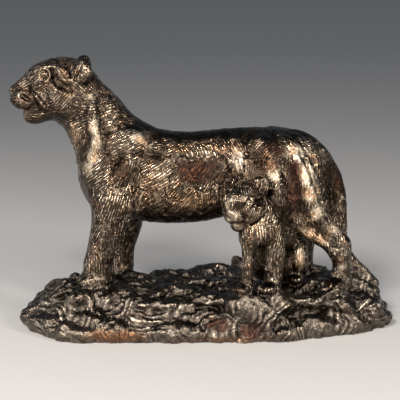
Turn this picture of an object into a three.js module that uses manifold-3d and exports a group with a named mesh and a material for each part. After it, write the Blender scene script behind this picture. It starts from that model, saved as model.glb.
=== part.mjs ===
// A lioness standing over her cub on a rocky oval base, cast as one piece.
// Millimetres, +Z up. The origin is the middle of the flat underside, and the lioness faces -X.
// The figures are worked out as clay: lumps and rolls are laid on, hollows are pressed in, and
// the skin of the whole is then drawn as one closed mesh with fewer faces where it runs smooth.
import * as THREE from "three";
import Module from "manifold-3d";

// Driving dimensions
const SPINE_Y = 8; // the lioness stands a little behind the middle of the base
const NEAR = -1; // her left side, towards -Y
const FAR = 1; // her right side
const BOX_MIDDLE = [-2.3, 2.7]; // middle of the cast in plan, where the finished work's origin goes
const HEAD_AT = [-150, SPINE_Y, 252];
const HEAD_TURN = 5; // degrees, towards the near side
const CUB_HEAD_AT = [39, -49, 141];
const CUB_HEAD_SCALE = 0.73;
const CUB_HEAD_SET = { turn: 60, lean: -8, tip: -3 }; // degrees
const GROUND = 49; // top of the rocky base under the paws
const BASE_RIM = 13; // height of the base's widest line
const BASE_SLOPE = 0.8; // rise of the rocky sides for each millimetre inwards
const UNDERCUT = 0.45; // how far the rim draws in towards the underside, for each millimetre down

// Mesh settings
const CELL = 2.4; // spacing of the sampling grid
const FACES = 9600; // faces left after the smooth parts are thinned out
const BELOW = 5; // clay below the underside, cut away at the end
const REACH = 9; // how far past its own skin a lump can still matter
const LEAST_TURN_KEPT = 0.25; // cosine of the most that a face may turn while its corners are merged
const SMALLEST_FACE = 1e-3; // a face under this area counts as folded away
const FACES_KEPT_FOR = [
  { at: HEAD_AT, within: 64, weight: 6 },
  { at: CUB_HEAD_AT, within: 34, weight: 10 },
];

// Clay shapes. Each one has a distance function, a box that holds it, and how softly it joins.

function rotationOf({ lean = 0, turn = 0, tip = 0 } = {}) {
  const euler = new THREE.Euler(
    THREE.MathUtils.degToRad(tip),
    THREE.MathUtils.degToRad(lean),
    THREE.MathUtils.degToRad(turn),
    "ZYX",
  );
  return new THREE.Matrix4().makeRotationFromEuler(euler);
}

// An ellipsoid of clay: lean turns it about Y, turn about Z and tip about X, in degrees.
function lump(at, radii, { blend = 8, carve = false, ...angles } = {}) {
  return { kind: "lump", at, radii, blend, carve, matrix: rotationOf(angles) };
}

// A roll of clay along a smooth path of [x, y, z, radius]; flat is its width against its height.
function roll(path, { blend = 8, carve = false, flat = 1, steps = 4 } = {}) {
  return { kind: "roll", path, blend, carve, flat, steps };
}

// The same clay, scaled about its own origin, then turned and set down at a place.
function placed(clay, at, { scale = 1, ...angles }) {
  const turn = rotationOf(angles);
  const whole = turn.clone().scale(new THREE.Vector3(scale, scale, scale)).setPosition(...at);
  const moved = ([x, y, z]) => new THREE.Vector3(x, y, z).applyMatrix4(whole).toArray();
  return clay.map((c) => ({
    ...c,
    blend: c.blend * scale,
    ...(c.kind === "lump"
      ? {
          at: moved(c.at),
          radii: c.radii.map((r) => r * scale),
          matrix: turn.clone().multiply(c.matrix),
        }
      : { path: c.path.map((p) => [...moved(p), p[3] * scale]) }),
  }));
}

const bothSides = (make) => [...make(NEAR), ...make(FAR)];

// Distance from the lioness's own middle plane, on one side or the other
const across = (side, out) => SPINE_Y + side * out;

// A big cat's head about the middle of its skull, with the muzzle towards -X.
function catHead(sizes = {}) {
  const { eye = 1, eyeAt = [-19, 18.4, 19.5], fallAway = 0.42 } = sizes;
  const { muzzle: m = 1, pad = 1, crown = 1, ears = [1, 1], cup = 3.8 } = sizes;
  return [
    lump([2, 0, 5], [32, 25, 31], { blend: 10 }),
    lump([-14, 0, 12], [23 * crown, 19 * crown, 20 * crown], { blend: 10 }),
    roll([[-26, 0, 13, 13], [-38.5 * m, 0, 6.5, 10], [-48.5 * m, 0, 1, 8]], { blend: 8 }),
    lump([-53 * m, 0, 1], [5, 7, 4.5], { blend: 2.5 }),
    lump([-32 * m, 0, -24.5 * pad], [12 * m, 10 * pad, 10.5 * pad], { blend: 7 }),
    lump([-1, 0, -24], [13, 12, 11], { blend: 6 }),
    lump([-22 * m, 0, -23], [12, 13, 8.5], { blend: 6 }),
    ...bothSides((s) => [
      lump([-42 * m, s * 7 * pad, -7 * pad], [14 * m, 9.5 * pad, 11.5 * pad], { blend: 4 }),
      lump([-8, s * 15, -5], [20, 12, 18], { blend: 8 }),
      lump([-18, s * 14, 4], [13, 7, 7], { blend: 7 }),
      roll([[-24 * m, s * 5, -21, 8], [3, s * 12, -14, 12]], { blend: 7 }),
    ]),
    ...bothSides((s) => mouthAndNose(s, m)),
    ...bothSides((s) => eyeOf(s, eye, eyeAt, fallAway)),
    ...earOf(NEAR, ears[0], cup),
    ...earOf(FAR, ears[1], cup),
  ];
}

function mouthAndNose(s, m) {
  return [
    roll(
      [
        [-49 * m, 0, -18.5, 1.8], [-43 * m, s * 9, -20.5, 2.1],
        [-31 * m, s * 14.5, -20.5, 2.6], [-18 * m, s * 18, -18, 2],
      ],
      { carve: true, blend: 2 },
    ),
    // nostril, and the slit that runs back from it
    roll([[-46 * m, s * 12, -2.5, 1.9], [-38 * m, s * 17.5, -7, 2.3], [-29 * m, s * 19.5, -13, 1.9]],
      { carve: true, blend: 1.6 }),
    // folds of the lip that run back and down over the cheek
    roll([[-34 * m, s * 14.5, 1, 1.8], [-26 * m, s * 18.4, -7, 2.2], [-20 * m, s * 19.4, -16, 1.8]],
      { blend: 2 }),
    roll([[-21 * m, s * 19, 5, 1.8], [-13 * m, s * 22.4, -1, 2.2], [-6 * m, s * 25, -10, 1.8]],
      { blend: 2 }),
  ];
}

// The eye, its lids and the bones about it; fallAway is how the face narrows towards the muzzle.
function eyeOf(s, size, [eyeX, eyeY, eyeZ], fallAway) {
  const lid = Array.from({ length: 9 }, (_, i) => {
    const angle = (i * Math.PI) / 4;
    const along = 6.6 * size * Math.cos(angle);
    return [eyeX + along, s * (eyeY + fallAway * along), eyeZ + 5.9 * size * Math.sin(angle), 2 * size];
  });
  return [
    lump([eyeX, s * (eyeY + 3.1), eyeZ], [8.6 * size, 5.2, 7.4 * size],
      { carve: true, blend: 5, turn: s * -23 }),
    lump([eyeX, s * (eyeY - 3.2), eyeZ], [5.4 * size, 6, 4.8 * size], { blend: 1 }),
    roll(lid, { blend: 1.2 }),
    // brow, the hollow behind the eye and under the cheekbone, and the cheekbone itself
    roll(
      [
        [-32, s * 9, eyeZ - 1.5, 1.8], [-22, s * 15.5, eyeZ + 6, 2.4],
        [-10, s * 19, eyeZ + 7, 2], [1, s * 20, eyeZ + 2.5, 1.6],
      ],
      { blend: 5 },
    ),
    roll([[-7, s * 25, eyeZ - 1.5, 2], [-4, s * 27, eyeZ - 9.5, 3.4], [8, s * 29, 4, 4.2]],
      { carve: true, blend: 4 }),
    roll([[-30, s * 13, eyeZ - 10.5, 2.2], [-20, s * 18.5, eyeZ - 11, 3], [-10, s * 22, eyeZ - 12.5, 3]],
      { blend: 3 }),
  ];
}

function earOf(s, size, cup) {
  const set = { turn: s * -40, lean: 12 };
  return [
    lump([19.5, s * 18, 22], [7.5 * size, 12 * size, 14.5 * size], { ...set, blend: 4 }),
    lump([12.2, s * 24, 25], [cup * size, 7.5 * size, 9.5 * size], { ...set, carve: true, blend: 3 }),
    // the fur that fills the foot of the ear
    lump([15, s * 19, 14], [7, 6, 6], { blend: 3 }),
  ];
}

// The lioness, from chest to rump
function trunk() {
  const y = SPINE_Y;
  return [
    roll(
      [
        [-92, y, 160, 44], [-55, y, 160, 49.5], [-15, y, 159.5, 49], [22, y, 165.5, 46.5],
        [55, y, 171, 42.5], [85, y, 172, 39], [102, y, 168, 33],
      ],
      { flat: 0.7, blend: 12 },
    ),
    // neck, thick where it meets the shoulders
    roll([[-84, y, 175, 46], [-104, y, 200, 38], [-119, y, 224, 33.5], [-134, y, 243, 30]],
      { flat: 0.78, blend: 14 }),
    // the seam between the buttocks, which the tail lies against
    roll([[104, y, 188, 14], [115, y, 165, 15], [121, y, 140, 13], [129, y, 120, 9], [136, y, 104, 8]],
      { blend: 8 }),
    ...bothSides(neckMuscles),
    ...flank(NEAR),
  ];
}

function neckMuscles(side) {
  return [
    // the groove that parts the head from the neck
    roll(
      [
        [-123, across(side, 30), 264, 2.4], [-126, across(side, 32), 248, 3.2],
        [-130, across(side, 30), 234, 3.2], [-138, across(side, 24), 221, 2.8],
      ],
      { carve: true, blend: 5 },
    ),
    roll(
      [
        [-116, across(side, 15), 254, 2], [-118, across(side, 20), 243, 5],
        [-119, across(side, 23), 232, 7.5], [-116, across(side, 24), 219, 8.5],
        [-113, across(side, 24), 206, 8.5], [-116, across(side, 22), 190, 8],
        [-123, across(side, 16), 172, 6],
      ],
      { blend: 4 },
    ),
    roll(
      [
        [-106, across(side, 31), 220, 2.4], [-103, across(side, 33), 206, 4],
        [-106, across(side, 33), 190, 4], [-114, across(side, 28), 174, 3],
      ],
      { carve: true, blend: 9 },
    ),
  ];
}

// The fold from the hip down to the flank, and the hollow behind it
function flank(side) {
  return [
    roll(
      [
        [30, across(side, 19), 200, 5], [34, across(side, 24), 188, 9], [40, across(side, 26), 171, 9],
        [50, across(side, 27), 150, 7],
      ],
      { blend: 10 },
    ),
    lump([8, across(side, 37), 168], [15, 5, 22], { carve: true, blend: 10 }),
  ];
}

function shoulder(side, shift = 0) {
  const y = (out) => across(side, out);
  const x = (value) => value + shift;
  return [
    lump([x(-84), y(21), 176], [21, 11, 37], { lean: 16, blend: 10 }),
    lump([x(-100), y(24), 156], [26, 14, 34], { blend: 12 }),
    lump([x(-86), y(24), 143], [22, 12, 26], { lean: -12, blend: 10 }),
    // upper edge of the shoulder blade, and the hollow behind it
    roll(
      [
        [x(-107), y(27), 188, 6], [x(-102), y(27), 201, 6.5], [x(-92), y(24), 207, 7],
        [x(-81), y(20), 207, 7.5], [x(-69), y(18), 201, 7.5], [x(-59), y(20), 195, 6],
      ],
      { blend: 4 },
    ),
    lump([x(-54), y(33), 193], [13, 6, 5], { lean: 24, carve: true, blend: 6 }),
    lump([x(-94), y(42), 187], [8, 8, 14], { lean: 18, carve: true, blend: 7 }),
    // upper arm and elbow, with the crease behind them
    roll([[x(-78), y(30), 182, 9], [x(-90), y(33), 165, 11], [x(-101), y(32), 146, 12]], { blend: 6 }),
    roll([[x(-82), y(32), 150, 9], [x(-84), y(33), 136, 10]], { blend: 6 }),
    roll(
      [
        [x(-70), y(41), 160, 2.5], [x(-72), y(42), 148, 4.2],
        [x(-69), y(41), 135, 4.5], [x(-64), y(37), 122, 3.5],
      ],
      { carve: true, blend: 9 },
    ),
  ];
}

function paw([x, y, z], turn = 0, size = 1) {
  const clay = [
    lump([0, 0, 0], [16, 13, 9], { blend: 8 }),
    ...[-9.3, -3.3, 3.3, 9.3].map((toe) =>
      lump([-12 + Math.abs(toe) * 0.35, toe, -1], [8, 4.2, 7], { blend: 1.8 })),
  ];
  return placed(clay, [x, y, z], { scale: size, turn });
}

function nearFrontLeg() {
  return [
    ...shoulder(NEAR),
    roll(
      [
        [-100, -20, 140, 20.5], [-103, -21, 116, 18.5], [-110, -22, 92, 15], [-114.5, -22, 72, 15],
        [-116, -22, 56, 14.5],
      ],
      { blend: 8 },
    ),
    // tendon down the back of the forearm, and the wrist
    roll([[-87, -26, 124, 8], [-96, -29, 104, 7], [-103, -28, 82, 6]], { blend: 4 }),
    lump([-119, -24, 71], [10, 12, 8], { blend: 5 }),
    ...paw([-119, -24, 54], 12),
  ];
}

function farFrontLeg() {
  return [
    ...shoulder(FAR, 10),
    roll([[-86, 33, 138, 20], [-86, 34, 104, 16], [-92, 35, 78, 13.5], [-94, 35, 56, 14]], { blend: 8 }),
    lump([-97, 36, 70], [9, 11, 8], { blend: 5 }),
    ...paw([-101, 36, 50], -6),
  ];
}

// Thigh muscles that both hind legs share, from the hip to just above the hock
function thigh(side, shift = 0, soft = 1) {
  const y = (out) => across(side, out);
  const x = (value) => value + shift;
  return [
    lump([x(66), y(20), 166], [30, 18, 38], { lean: -8, blend: 12 }),
    lump([x(97), y(20), 163], [19, 17, 38], { lean: -4, blend: 8 }),
    roll(
      [
        [x(58), y(22), 199, 7], [x(66), y(29), 185, 11], [x(71), y(34), 168, 13],
        [x(76), y(36), 148, 13], [x(81), y(34), 130, 11],
      ],
      { blend: 9 * soft },
    ),
    lump([x(52), y(45), 182], [8, 8, 14], { lean: -12, carve: true, blend: 10 }),
    roll(
      [
        [x(76), y(13), 209, 2], [x(86), y(25), 199, 8.5], [x(94), y(31), 185, 11],
        [x(102), y(35), 167, 12.5], [x(108), y(36), 148, 12.5], [x(115), y(34), 128, 11],
      ],
      { blend: 5 * soft },
    ),
    roll(
      [
        [x(82), y(8), 208, 2], [x(94), y(16), 202, 7], [x(104), y(20), 195, 8.5],
        [x(111), y(23), 184, 8.5], [x(114), y(25), 170, 8], [x(117), y(25), 155, 7.5],
        [x(122), y(25), 138, 7],
      ],
      { blend: 4 * soft },
    ),
    // grooves between the three muscles
    roll(
      [
        [x(68), y(37), 205, 3], [x(78), y(42), 189, 4.5], [x(86), y(47), 168, 5.5],
        [x(91), y(49), 146, 5.5], [x(97), y(47), 128, 4],
      ],
      { carve: true, blend: 9 * soft },
    ),
    roll(
      [
        [x(98), y(38), 194, 2.2], [x(108), y(43), 176, 3],
        [x(114), y(43), 157, 3], [x(120), y(39), 138, 2.4],
      ],
      { carve: true, blend: 4 * soft },
    ),
  ];
}

function nearHindLeg() {
  return [
    roll(
      [
        [88, -14, 150, 28], [102, -19, 128, 20], [122, -20, 106, 12.5], [140, -19, 92, 11],
        [143, -19, 88, 10.5],
      ],
      { flat: 0.85, blend: 10 },
    ),
    ...thigh(NEAR),
    // shin and heel tendon, with a hollow between them
    roll([[92, -30, 122, 8], [108, -29, 107, 7], [126, -26, 95, 6.5], [138, -23, 82, 7]], { blend: 4 }),
    roll([[118, -28, 124, 8], [131, -24, 110, 7], [145, -20, 95, 7]], { blend: 4 }),
    roll([[112, -37, 116, 2.4], [126, -33, 103, 2.8], [137, -30, 93, 2.2]], { carve: true, blend: 4 }),
    roll([[143, -20, 90, 10.5], [144.5, -20, 70, 10], [143.5, -21, 54, 10.5]], { blend: 5 }),
    ...paw([141, -27, 50], 36, 0.92),
  ];
}

function farHindLeg() {
  return [
    roll([[84, 32, 150, 28], [90, 36, 125, 20], [104, 38, 104, 14], [112, 38, 92, 11.5]], { blend: 10 }),
    ...thigh(FAR, -6, 2),
    roll([[112, 38, 92, 11], [110, 38, 72, 10], [108, 38, 54, 11.5]], { blend: 5 }),
    ...paw([100, 38, 51], -4, 0.95),
  ];
}

function tail() {
  return [
    roll(
      [
        [96, 8, 197, 13], [112, 8, 190.5, 11], [123.5, 8, 180, 9.5], [133, 9, 167, 8.8], [139, 9, 153.5, 8.5],
        [142.5, 9, 138, 8.5], [145, 9, 114, 7.5], [147, 10, 92, 7], [152, 11, 76, 6.5], [161, 12, 63, 6.5],
        [172, 12, 52, 7], [183, 12, 41, 6],
      ],
      { blend: 5 },
    ),
  ];
}

// The cub sits across the corner of the base with its chest towards the near side
function cub() {
  return [
    roll(
      [
        [47, -47, 138, 17], [57, -44, 130, 18], [66, -37, 119, 18.5], [77, -24, 106, 18],
        [88, -12, 95, 14],
      ],
      { blend: 7 },
    ),
    lump([54, -52, 116], [15, 13, 19], { blend: 6 }),
    lump([42, -50, 110], [9, 12, 14], { blend: 6 }),
    roll([[44, -56, 110, 9], [43, -59, 90, 6.5], [42.5, -60, 72, 6], [41, -61, 56, 6.5]], { blend: 4 }),
    roll([[67, -49, 116, 14], [71, -51, 94, 11], [70.5, -52, 72, 9.5], [69, -53, 56, 9.5]], { blend: 5 }),
    ...paw([39, -65, 56.5], 50, 0.6),
    ...paw([66, -60, 56], 50, 0.7),
    // chest tuft and the edge of the shoulder
    lump([52, -60.5, 111], [9, 6, 12], { blend: 4, tip: 8 }),
    roll([[64, -54, 136, 4], [70, -55, 120, 5], [78, -50, 104, 4.5]], { blend: 3 }),
    // belly and rump low behind the forelegs
    lump([64, -24, 84], [17, 18, 32], { blend: 7 }),
    lump([84, -8, 72], [13, 15, 24], { blend: 8 }),
    // haunch and hind foot, half hidden under the lioness
    lump([98.5, -11, 76], [11, 14, 18.5], { blend: 4 }),
    lump([96, -4, 90], [12, 13, 12], { blend: 7 }),
    ...paw([97, -17, 54], 60, 0.6),
    ...placed(
      catHead({
        eye: 1.1,
        eyeAt: [-21, 19.6, 14],
        fallAway: 0.26,
        muzzle: 0.74,
        pad: 0.86,
        crown: 1.1,
        ears: [1.05, 0.75],
        cup: 5.5,
      }),
      CUB_HEAD_AT,
      { scale: CUB_HEAD_SCALE, ...CUB_HEAD_SET },
    ),
    // the crease under its cheek, from the ear to the throat
    roll(
      [
        [65, -50, 154, 1.8], [63.5, -56, 146, 2.4], [59.5, -60, 137, 2.8], [52, -63, 129.5, 2.8],
        [42, -65, 123, 2.6], [37, -64, 117, 2],
      ],
      { carve: true, blend: 3 },
    ),
  ];
}

// The base: its outline seen from above, and the rocks that stand out of it
const BASE_OUTLINE = [
  [-203, 0], [-196, -28], [-172, -58], [-138, -77], [-80, -81], [-20, -79], [40, -79],
  [90, -73], [135, -58], [172, -42], [198, -18], [204, 6], [196, 34], [165, 60],
  [115, 77], [50, 84], [-20, 83], [-85, 80], [-140, 70], [-182, 44], [-200, 20],
];

function rocks() {
  return [
    lump([-148, -6, 41], [15, 20, 11], { blend: 6 }),
    lump([-128, -40, 38], [22, 14, 12], { blend: 7 }),
    lump([36, 68, 44], [9, 9, 12], { blend: 6 }),
    lump([26, 48, 38], [38, 18, 13], { blend: 9 }),
    roll([[148, 12, 57, 9], [164, 12, 48, 10], [180, 12, 37, 8]], { blend: 6 }),
    roll([[146, -4, 50, 9], [162, -4, 42, 10], [178, -4, 32, 9]], { blend: 8 }),
    lump([126, 40, 41], [24, 18, 11], { blend: 7 }),
    lump([168, -20, 26], [20, 18, 13], { blend: 7 }),
    lump([-15, 54, 34], [55, 18, 11], { blend: 10 }),
    lump([112, -44, 38], [26, 14, 9], { blend: 7 }),
    lump([10, -50, 40], [24, 14, 8], { blend: 7 }),
    // the ledges that the cub's forefeet and her near hind foot stand on
    lump([40, -57, 38], [24, 20, 15], { tip: 10, blend: 8 }),
    lump([66, -52, 39], [26, 21, 14], { tip: 10, blend: 8 }),
    lump([50, -58, 26], [34, 17, 15], { blend: 9 }),
    lump([137, -29, 34], [24, 18, 13], { lean: 8, blend: 7 }),
    lump([-60, -52, 36], [28, 12, 9], { lean: 8, blend: 7 }),
  ];
}

// Lumps and crevices of the rock, from a few bent and folded waves
function rockRelief(x, y, z) {
  const u = x + 8 * Math.sin(0.05 * y + 0.09 * z + 1) + 4 * Math.sin(0.13 * y - 0.07 * x);
  const v = y + 1.1 * z + 8 * Math.sin(0.045 * x - 0.06 * z) + 3 * Math.sin(0.12 * x + 0.1 * y);
  const folded = (wave) => Math.sqrt(wave * wave + 0.015);
  const boulders = folded(Math.sin(0.055 * u + 0.04 * v) * Math.cos(0.066 * v - 0.03 * u));
  const knobs = folded(Math.sin(0.13 * u - 0.08 * v + 0.8) * Math.cos(0.105 * v + 0.09 * u));
  return 3.3 - 5.2 * boulders - 2.8 * knobs;
}

// Distance to the clay

function smoothUnion(a, b, k) {
  const h = Math.max(k - Math.abs(a - b), 0) / k;
  return Math.min(a, b) - (h * h * k) / 4;
}

const smoothCut = (a, b, k) => -smoothUnion(-a, b, k);

// Points along a smooth path, with the radius carried as a fourth number
function alongPath(path, steps) {
  const smooth = (points) => new THREE.CatmullRomCurve3(points, false, "catmullrom");
  const line = smooth(path.map(([x, y, z]) => new THREE.Vector3(x, y, z)));
  const thickness = smooth(path.map((p) => new THREE.Vector3(p[3], 0, 0)));
  const count = (path.length - 1) * steps;
  return Array.from({ length: count + 1 }, (_, i) => {
    const p = line.getPoint(i / count);
    return [p.x, p.y, p.z, thickness.getPoint(i / count).x];
  });
}

function lumpDistance({ at, radii: [a, b, c], matrix }) {
  const e = matrix.elements;
  return (x, y, z) => {
    const dx = x - at[0];
    const dy = y - at[1];
    const dz = z - at[2];
    const u = e[0] * dx + e[1] * dy + e[2] * dz;
    const v = e[4] * dx + e[5] * dy + e[6] * dz;
    const w = e[8] * dx + e[9] * dy + e[10] * dz;
    const inUnits = Math.sqrt((u / a) ** 2 + (v / b) ** 2 + (w / c) ** 2);
    const gradient = Math.sqrt((u / (a * a)) ** 2 + (v / (b * b)) ** 2 + (w / (c * c)) ** 2);
    return gradient < 1e-9 ? -Math.min(a, b, c) : (inUnits * (inUnits - 1)) / gradient;
  };
}

function rollDistance({ path, flat, steps }) {
  const points = alongPath(path, steps);
  return (x, y, z) => {
    let nearest = Infinity;
    for (let i = 0; i + 1 < points.length; i++) {
      const [ax, ay, az, ar] = points[i];
      const [bx, by, bz, br] = points[i + 1];
      const ux = bx - ax;
      const uy = (by - ay) / flat;
      const uz = bz - az;
      const px = x - ax;
      const py = (y - ay) / flat;
      const pz = z - az;
      const t = Math.min(1, Math.max(0, (px * ux + py * uy + pz * uz) / (ux * ux + uy * uy + uz * uz)));
      const away = Math.sqrt((px - t * ux) ** 2 + (py - t * uy) ** 2 + (pz - t * uz) ** 2);
      nearest = Math.min(nearest, away - ar - t * (br - ar));
    }
    return nearest;
  };
}

function boxOf(c) {
  const box = new THREE.Box3();
  if (c.kind === "lump") {
    const r = Math.max(...c.radii);
    box.setFromCenterAndSize(new THREE.Vector3(...c.at), new THREE.Vector3(2 * r, 2 * r, 2 * r));
  } else {
    for (const [x, y, z, r] of c.path) {
      box.expandByPoint(new THREE.Vector3(x - r, y - r, z - r));
      box.expandByPoint(new THREE.Vector3(x + r, y + r, z + r));
    }
  }
  return box.expandByScalar(REACH + c.blend);
}

// Signed distance to the base's outline in plan, negative inside
function outlineDistance() {
  const curve = new THREE.CatmullRomCurve3(
    BASE_OUTLINE.map(([x, y]) => new THREE.Vector3(x, y, 0)), true, "catmullrom");
  const points = curve.getPoints(BASE_OUTLINE.length * 3);
  return (x, y) => {
    let nearest = Infinity;
    let inside = false;
    for (let i = 0; i + 1 < points.length; i++) {
      const a = points[i];
      const b = points[i + 1];
      const ux = b.x - a.x;
      const uy = b.y - a.y;
      const t = Math.min(1, Math.max(0, ((x - a.x) * ux + (y - a.y) * uy) / (ux * ux + uy * uy)));
      nearest = Math.min(nearest, Math.sqrt((x - a.x - t * ux) ** 2 + (y - a.y - t * uy) ** 2));
      if (a.y > y !== b.y > y && x < a.x + ((y - a.y) * ux) / uy) inside = !inside;
    }
    return inside ? -nearest : nearest;
  };
}

function baseDistance() {
  const outline = outlineDistance();
  return (x, y, z) => {
    const inset = -outline(x, y);
    const top = smoothUnion(BASE_RIM + BASE_SLOPE * inset, GROUND, 16);
    const side = -inset + UNDERCUT * Math.max(0, BASE_RIM - z);
    const above = (z - top) / Math.hypot(1, BASE_SLOPE);
    return -smoothUnion(-side, -above, 8);
  };
}

// What can be worked out about each piece of clay before it is laid on
function readied(clay) {
  return clay.map((c) => ({
    box: boxOf(c),
    distance: c.kind === "lump" ? lumpDistance(c) : rollDistance(c),
    blend: c.blend,
    join: c.carve ? smoothCut : smoothUnion,
  }));
}

function laidOn(parts, start, x, y, z) {
  let d = start;
  for (const p of parts) d = p.join(d, p.distance(x, y, z), p.blend);
  return d;
}

// Samples rocks and figures on a grid. Pieces far from a block of cells are left out of it.
function sampleClay(rockClay, figureClay, box) {
  const size = box.getSize(new THREE.Vector3());
  const counts = size.toArray().map((s) => Math.ceil(s / CELL) + 1);
  const [nx, ny, nz] = counts;
  const values = new Float32Array(nx * ny * nz);
  const base = baseDistance();
  const baseTop = GROUND + REACH * 2;
  const rockParts = readied(rockClay);
  const figureParts = readied(figureClay);
  const BLOCK = 8;
  const block = new THREE.Box3();
  for (let bk = 0; bk < nz; bk += BLOCK)
    for (let bj = 0; bj < ny; bj += BLOCK)
      for (let bi = 0; bi < nx; bi += BLOCK) {
        block.min.set(box.min.x + bi * CELL, box.min.y + bj * CELL, box.min.z + bk * CELL);
        block.max.copy(block.min).addScalar(BLOCK * CELL);
        const nearRocks = rockParts.filter((p) => p.box.intersectsBox(block));
        const nearFigures = figureParts.filter((p) => p.box.intersectsBox(block));
        const overBase = block.min.z < baseTop;
        for (let k = bk; k < Math.min(bk + BLOCK, nz); k++)
          for (let j = bj; j < Math.min(bj + BLOCK, ny); j++)
            for (let i = bi; i < Math.min(bi + BLOCK, nx); i++) {
              const x = box.min.x + i * CELL;
              const y = box.min.y + j * CELL;
              const z = box.min.z + k * CELL;
              let d = REACH * 2;
              if (overBase) {
                d = laidOn(nearRocks, base(x, y, z), x, y, z) + rockRelief(x, y, z);
                d = Math.max(d, -z - BELOW);
              }
              values[i + nx * (j + ny * k)] = laidOn(nearFigures, d, x, y, z);
            }
      }
  return { values, counts };
}

// Draws the skin through the samples. Each cell is cut into six tetrahedra, so the skin closes.
function drawSkin({ values, counts: [nx, ny, nz] }, origin) {
  const corner = [0, 1, 3, 2, 4, 5, 7, 6].map((c) => [c & 1, (c >> 1) & 1, c >> 2]);
  const tetrahedra = [[0, 1, 2, 6], [0, 2, 3, 6], [0, 3, 7, 6], [0, 7, 4, 6], [0, 4, 5, 6], [0, 5, 1, 6]];
  const offset = corner.map(([i, j, k]) => i + nx * (j + ny * k));
  const found = new Map();
  const positions = [];
  const faces = [];
  const place = (at) => [at % nx, Math.floor(at / nx) % ny, Math.floor(at / (nx * ny))];
  const crossing = (a, b) => {
    const key = a < b ? a * values.length + b : b * values.length + a;
    if (!found.has(key)) {
      const t = THREE.MathUtils.clamp(values[a] / (values[a] - values[b]), 0.04, 0.96);
      const pa = place(a);
      const pb = place(b);
      found.set(key, positions.length / 3);
      for (let n = 0; n < 3; n++) positions.push(origin[n] + CELL * (pa[n] + t * (pb[n] - pa[n])));
    }
    return found.get(key);
  };
  const orient = (a, b, c, inner) => {
    // the face turns away from the corner that lies inside
    const at = (v, n) => positions[3 * v + n];
    const u = [0, 1, 2].map((n) => at(b, n) - at(a, n));
    const v = [0, 1, 2].map((n) => at(c, n) - at(a, n));
    const p = place(inner);
    const w = [0, 1, 2].map((n) => origin[n] + CELL * p[n] - at(a, n));
    const facing =
      w[0] * (u[1] * v[2] - u[2] * v[1]) +
      w[1] * (u[2] * v[0] - u[0] * v[2]) +
      w[2] * (u[0] * v[1] - u[1] * v[0]);
    faces.push(...(facing < 0 ? [a, b, c] : [a, c, b]));
  };
  for (let k = 0; k + 1 < nz; k++)
    for (let j = 0; j + 1 < ny; j++)
      for (let i = 0; i + 1 < nx; i++) {
        const at = i + nx * (j + ny * k);
        const filled = offset.map((o) => values[at + o] < 0);
        if (filled.every(Boolean) || !filled.some(Boolean)) continue;
        for (const tetrahedron of tetrahedra) {
          const inside = tetrahedron.filter((c) => filled[c]).map((c) => at + offset[c]);
          const outside = tetrahedron.filter((c) => !filled[c]).map((c) => at + offset[c]);
          if (inside.length === 1) orient(...outside.map((o) => crossing(inside[0], o)), inside[0]);
          if (inside.length === 3) orient(...inside.map((o) => crossing(o, outside[0])), inside[0]);
          if (inside.length === 2) {
            const [a, b] = inside;
            const [c, d] = outside;
            const ring = [crossing(a, c), crossing(a, d), crossing(b, d), crossing(b, c)];
            orient(ring[0], ring[1], ring[2], a);
            orient(ring[0], ring[2], ring[3], b);
          }
        }
      }
  return { positions, faces };
}

// A heap of [cost, ...] entries with the cheapest on top
class Heap {
  constructor() {
    this.items = [];
  }
  push(item) {
    const a = this.items;
    let i = a.length;
    a.push(item);
    while (i > 0) {
      const up = (i - 1) >> 1;
      if (a[up][0] <= item[0]) break;
      a[i] = a[up];
      i = up;
    }
    a[i] = item;
  }
  pop() {
    const a = this.items;
    const top = a[0];
    const last = a.pop();
    if (a.length) {
      let i = 0;
      for (;;) {
        let child = 2 * i + 1;
        if (child >= a.length) break;
        if (child + 1 < a.length && a[child + 1][0] < a[child][0]) child++;
        if (a[child][0] >= last[0]) break;
        a[i] = a[child];
        i = child;
      }
      a[i] = last;
    }
    return top;
  }
}

// The two faces keep more of their shape than the rest
function importance(x, y, z) {
  const near = FACES_KEPT_FOR.find(({ at, within }) => Math.hypot(x - at[0], y - at[1], z - at[2]) < within);
  return near ? near.weight : 1;
}

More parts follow.
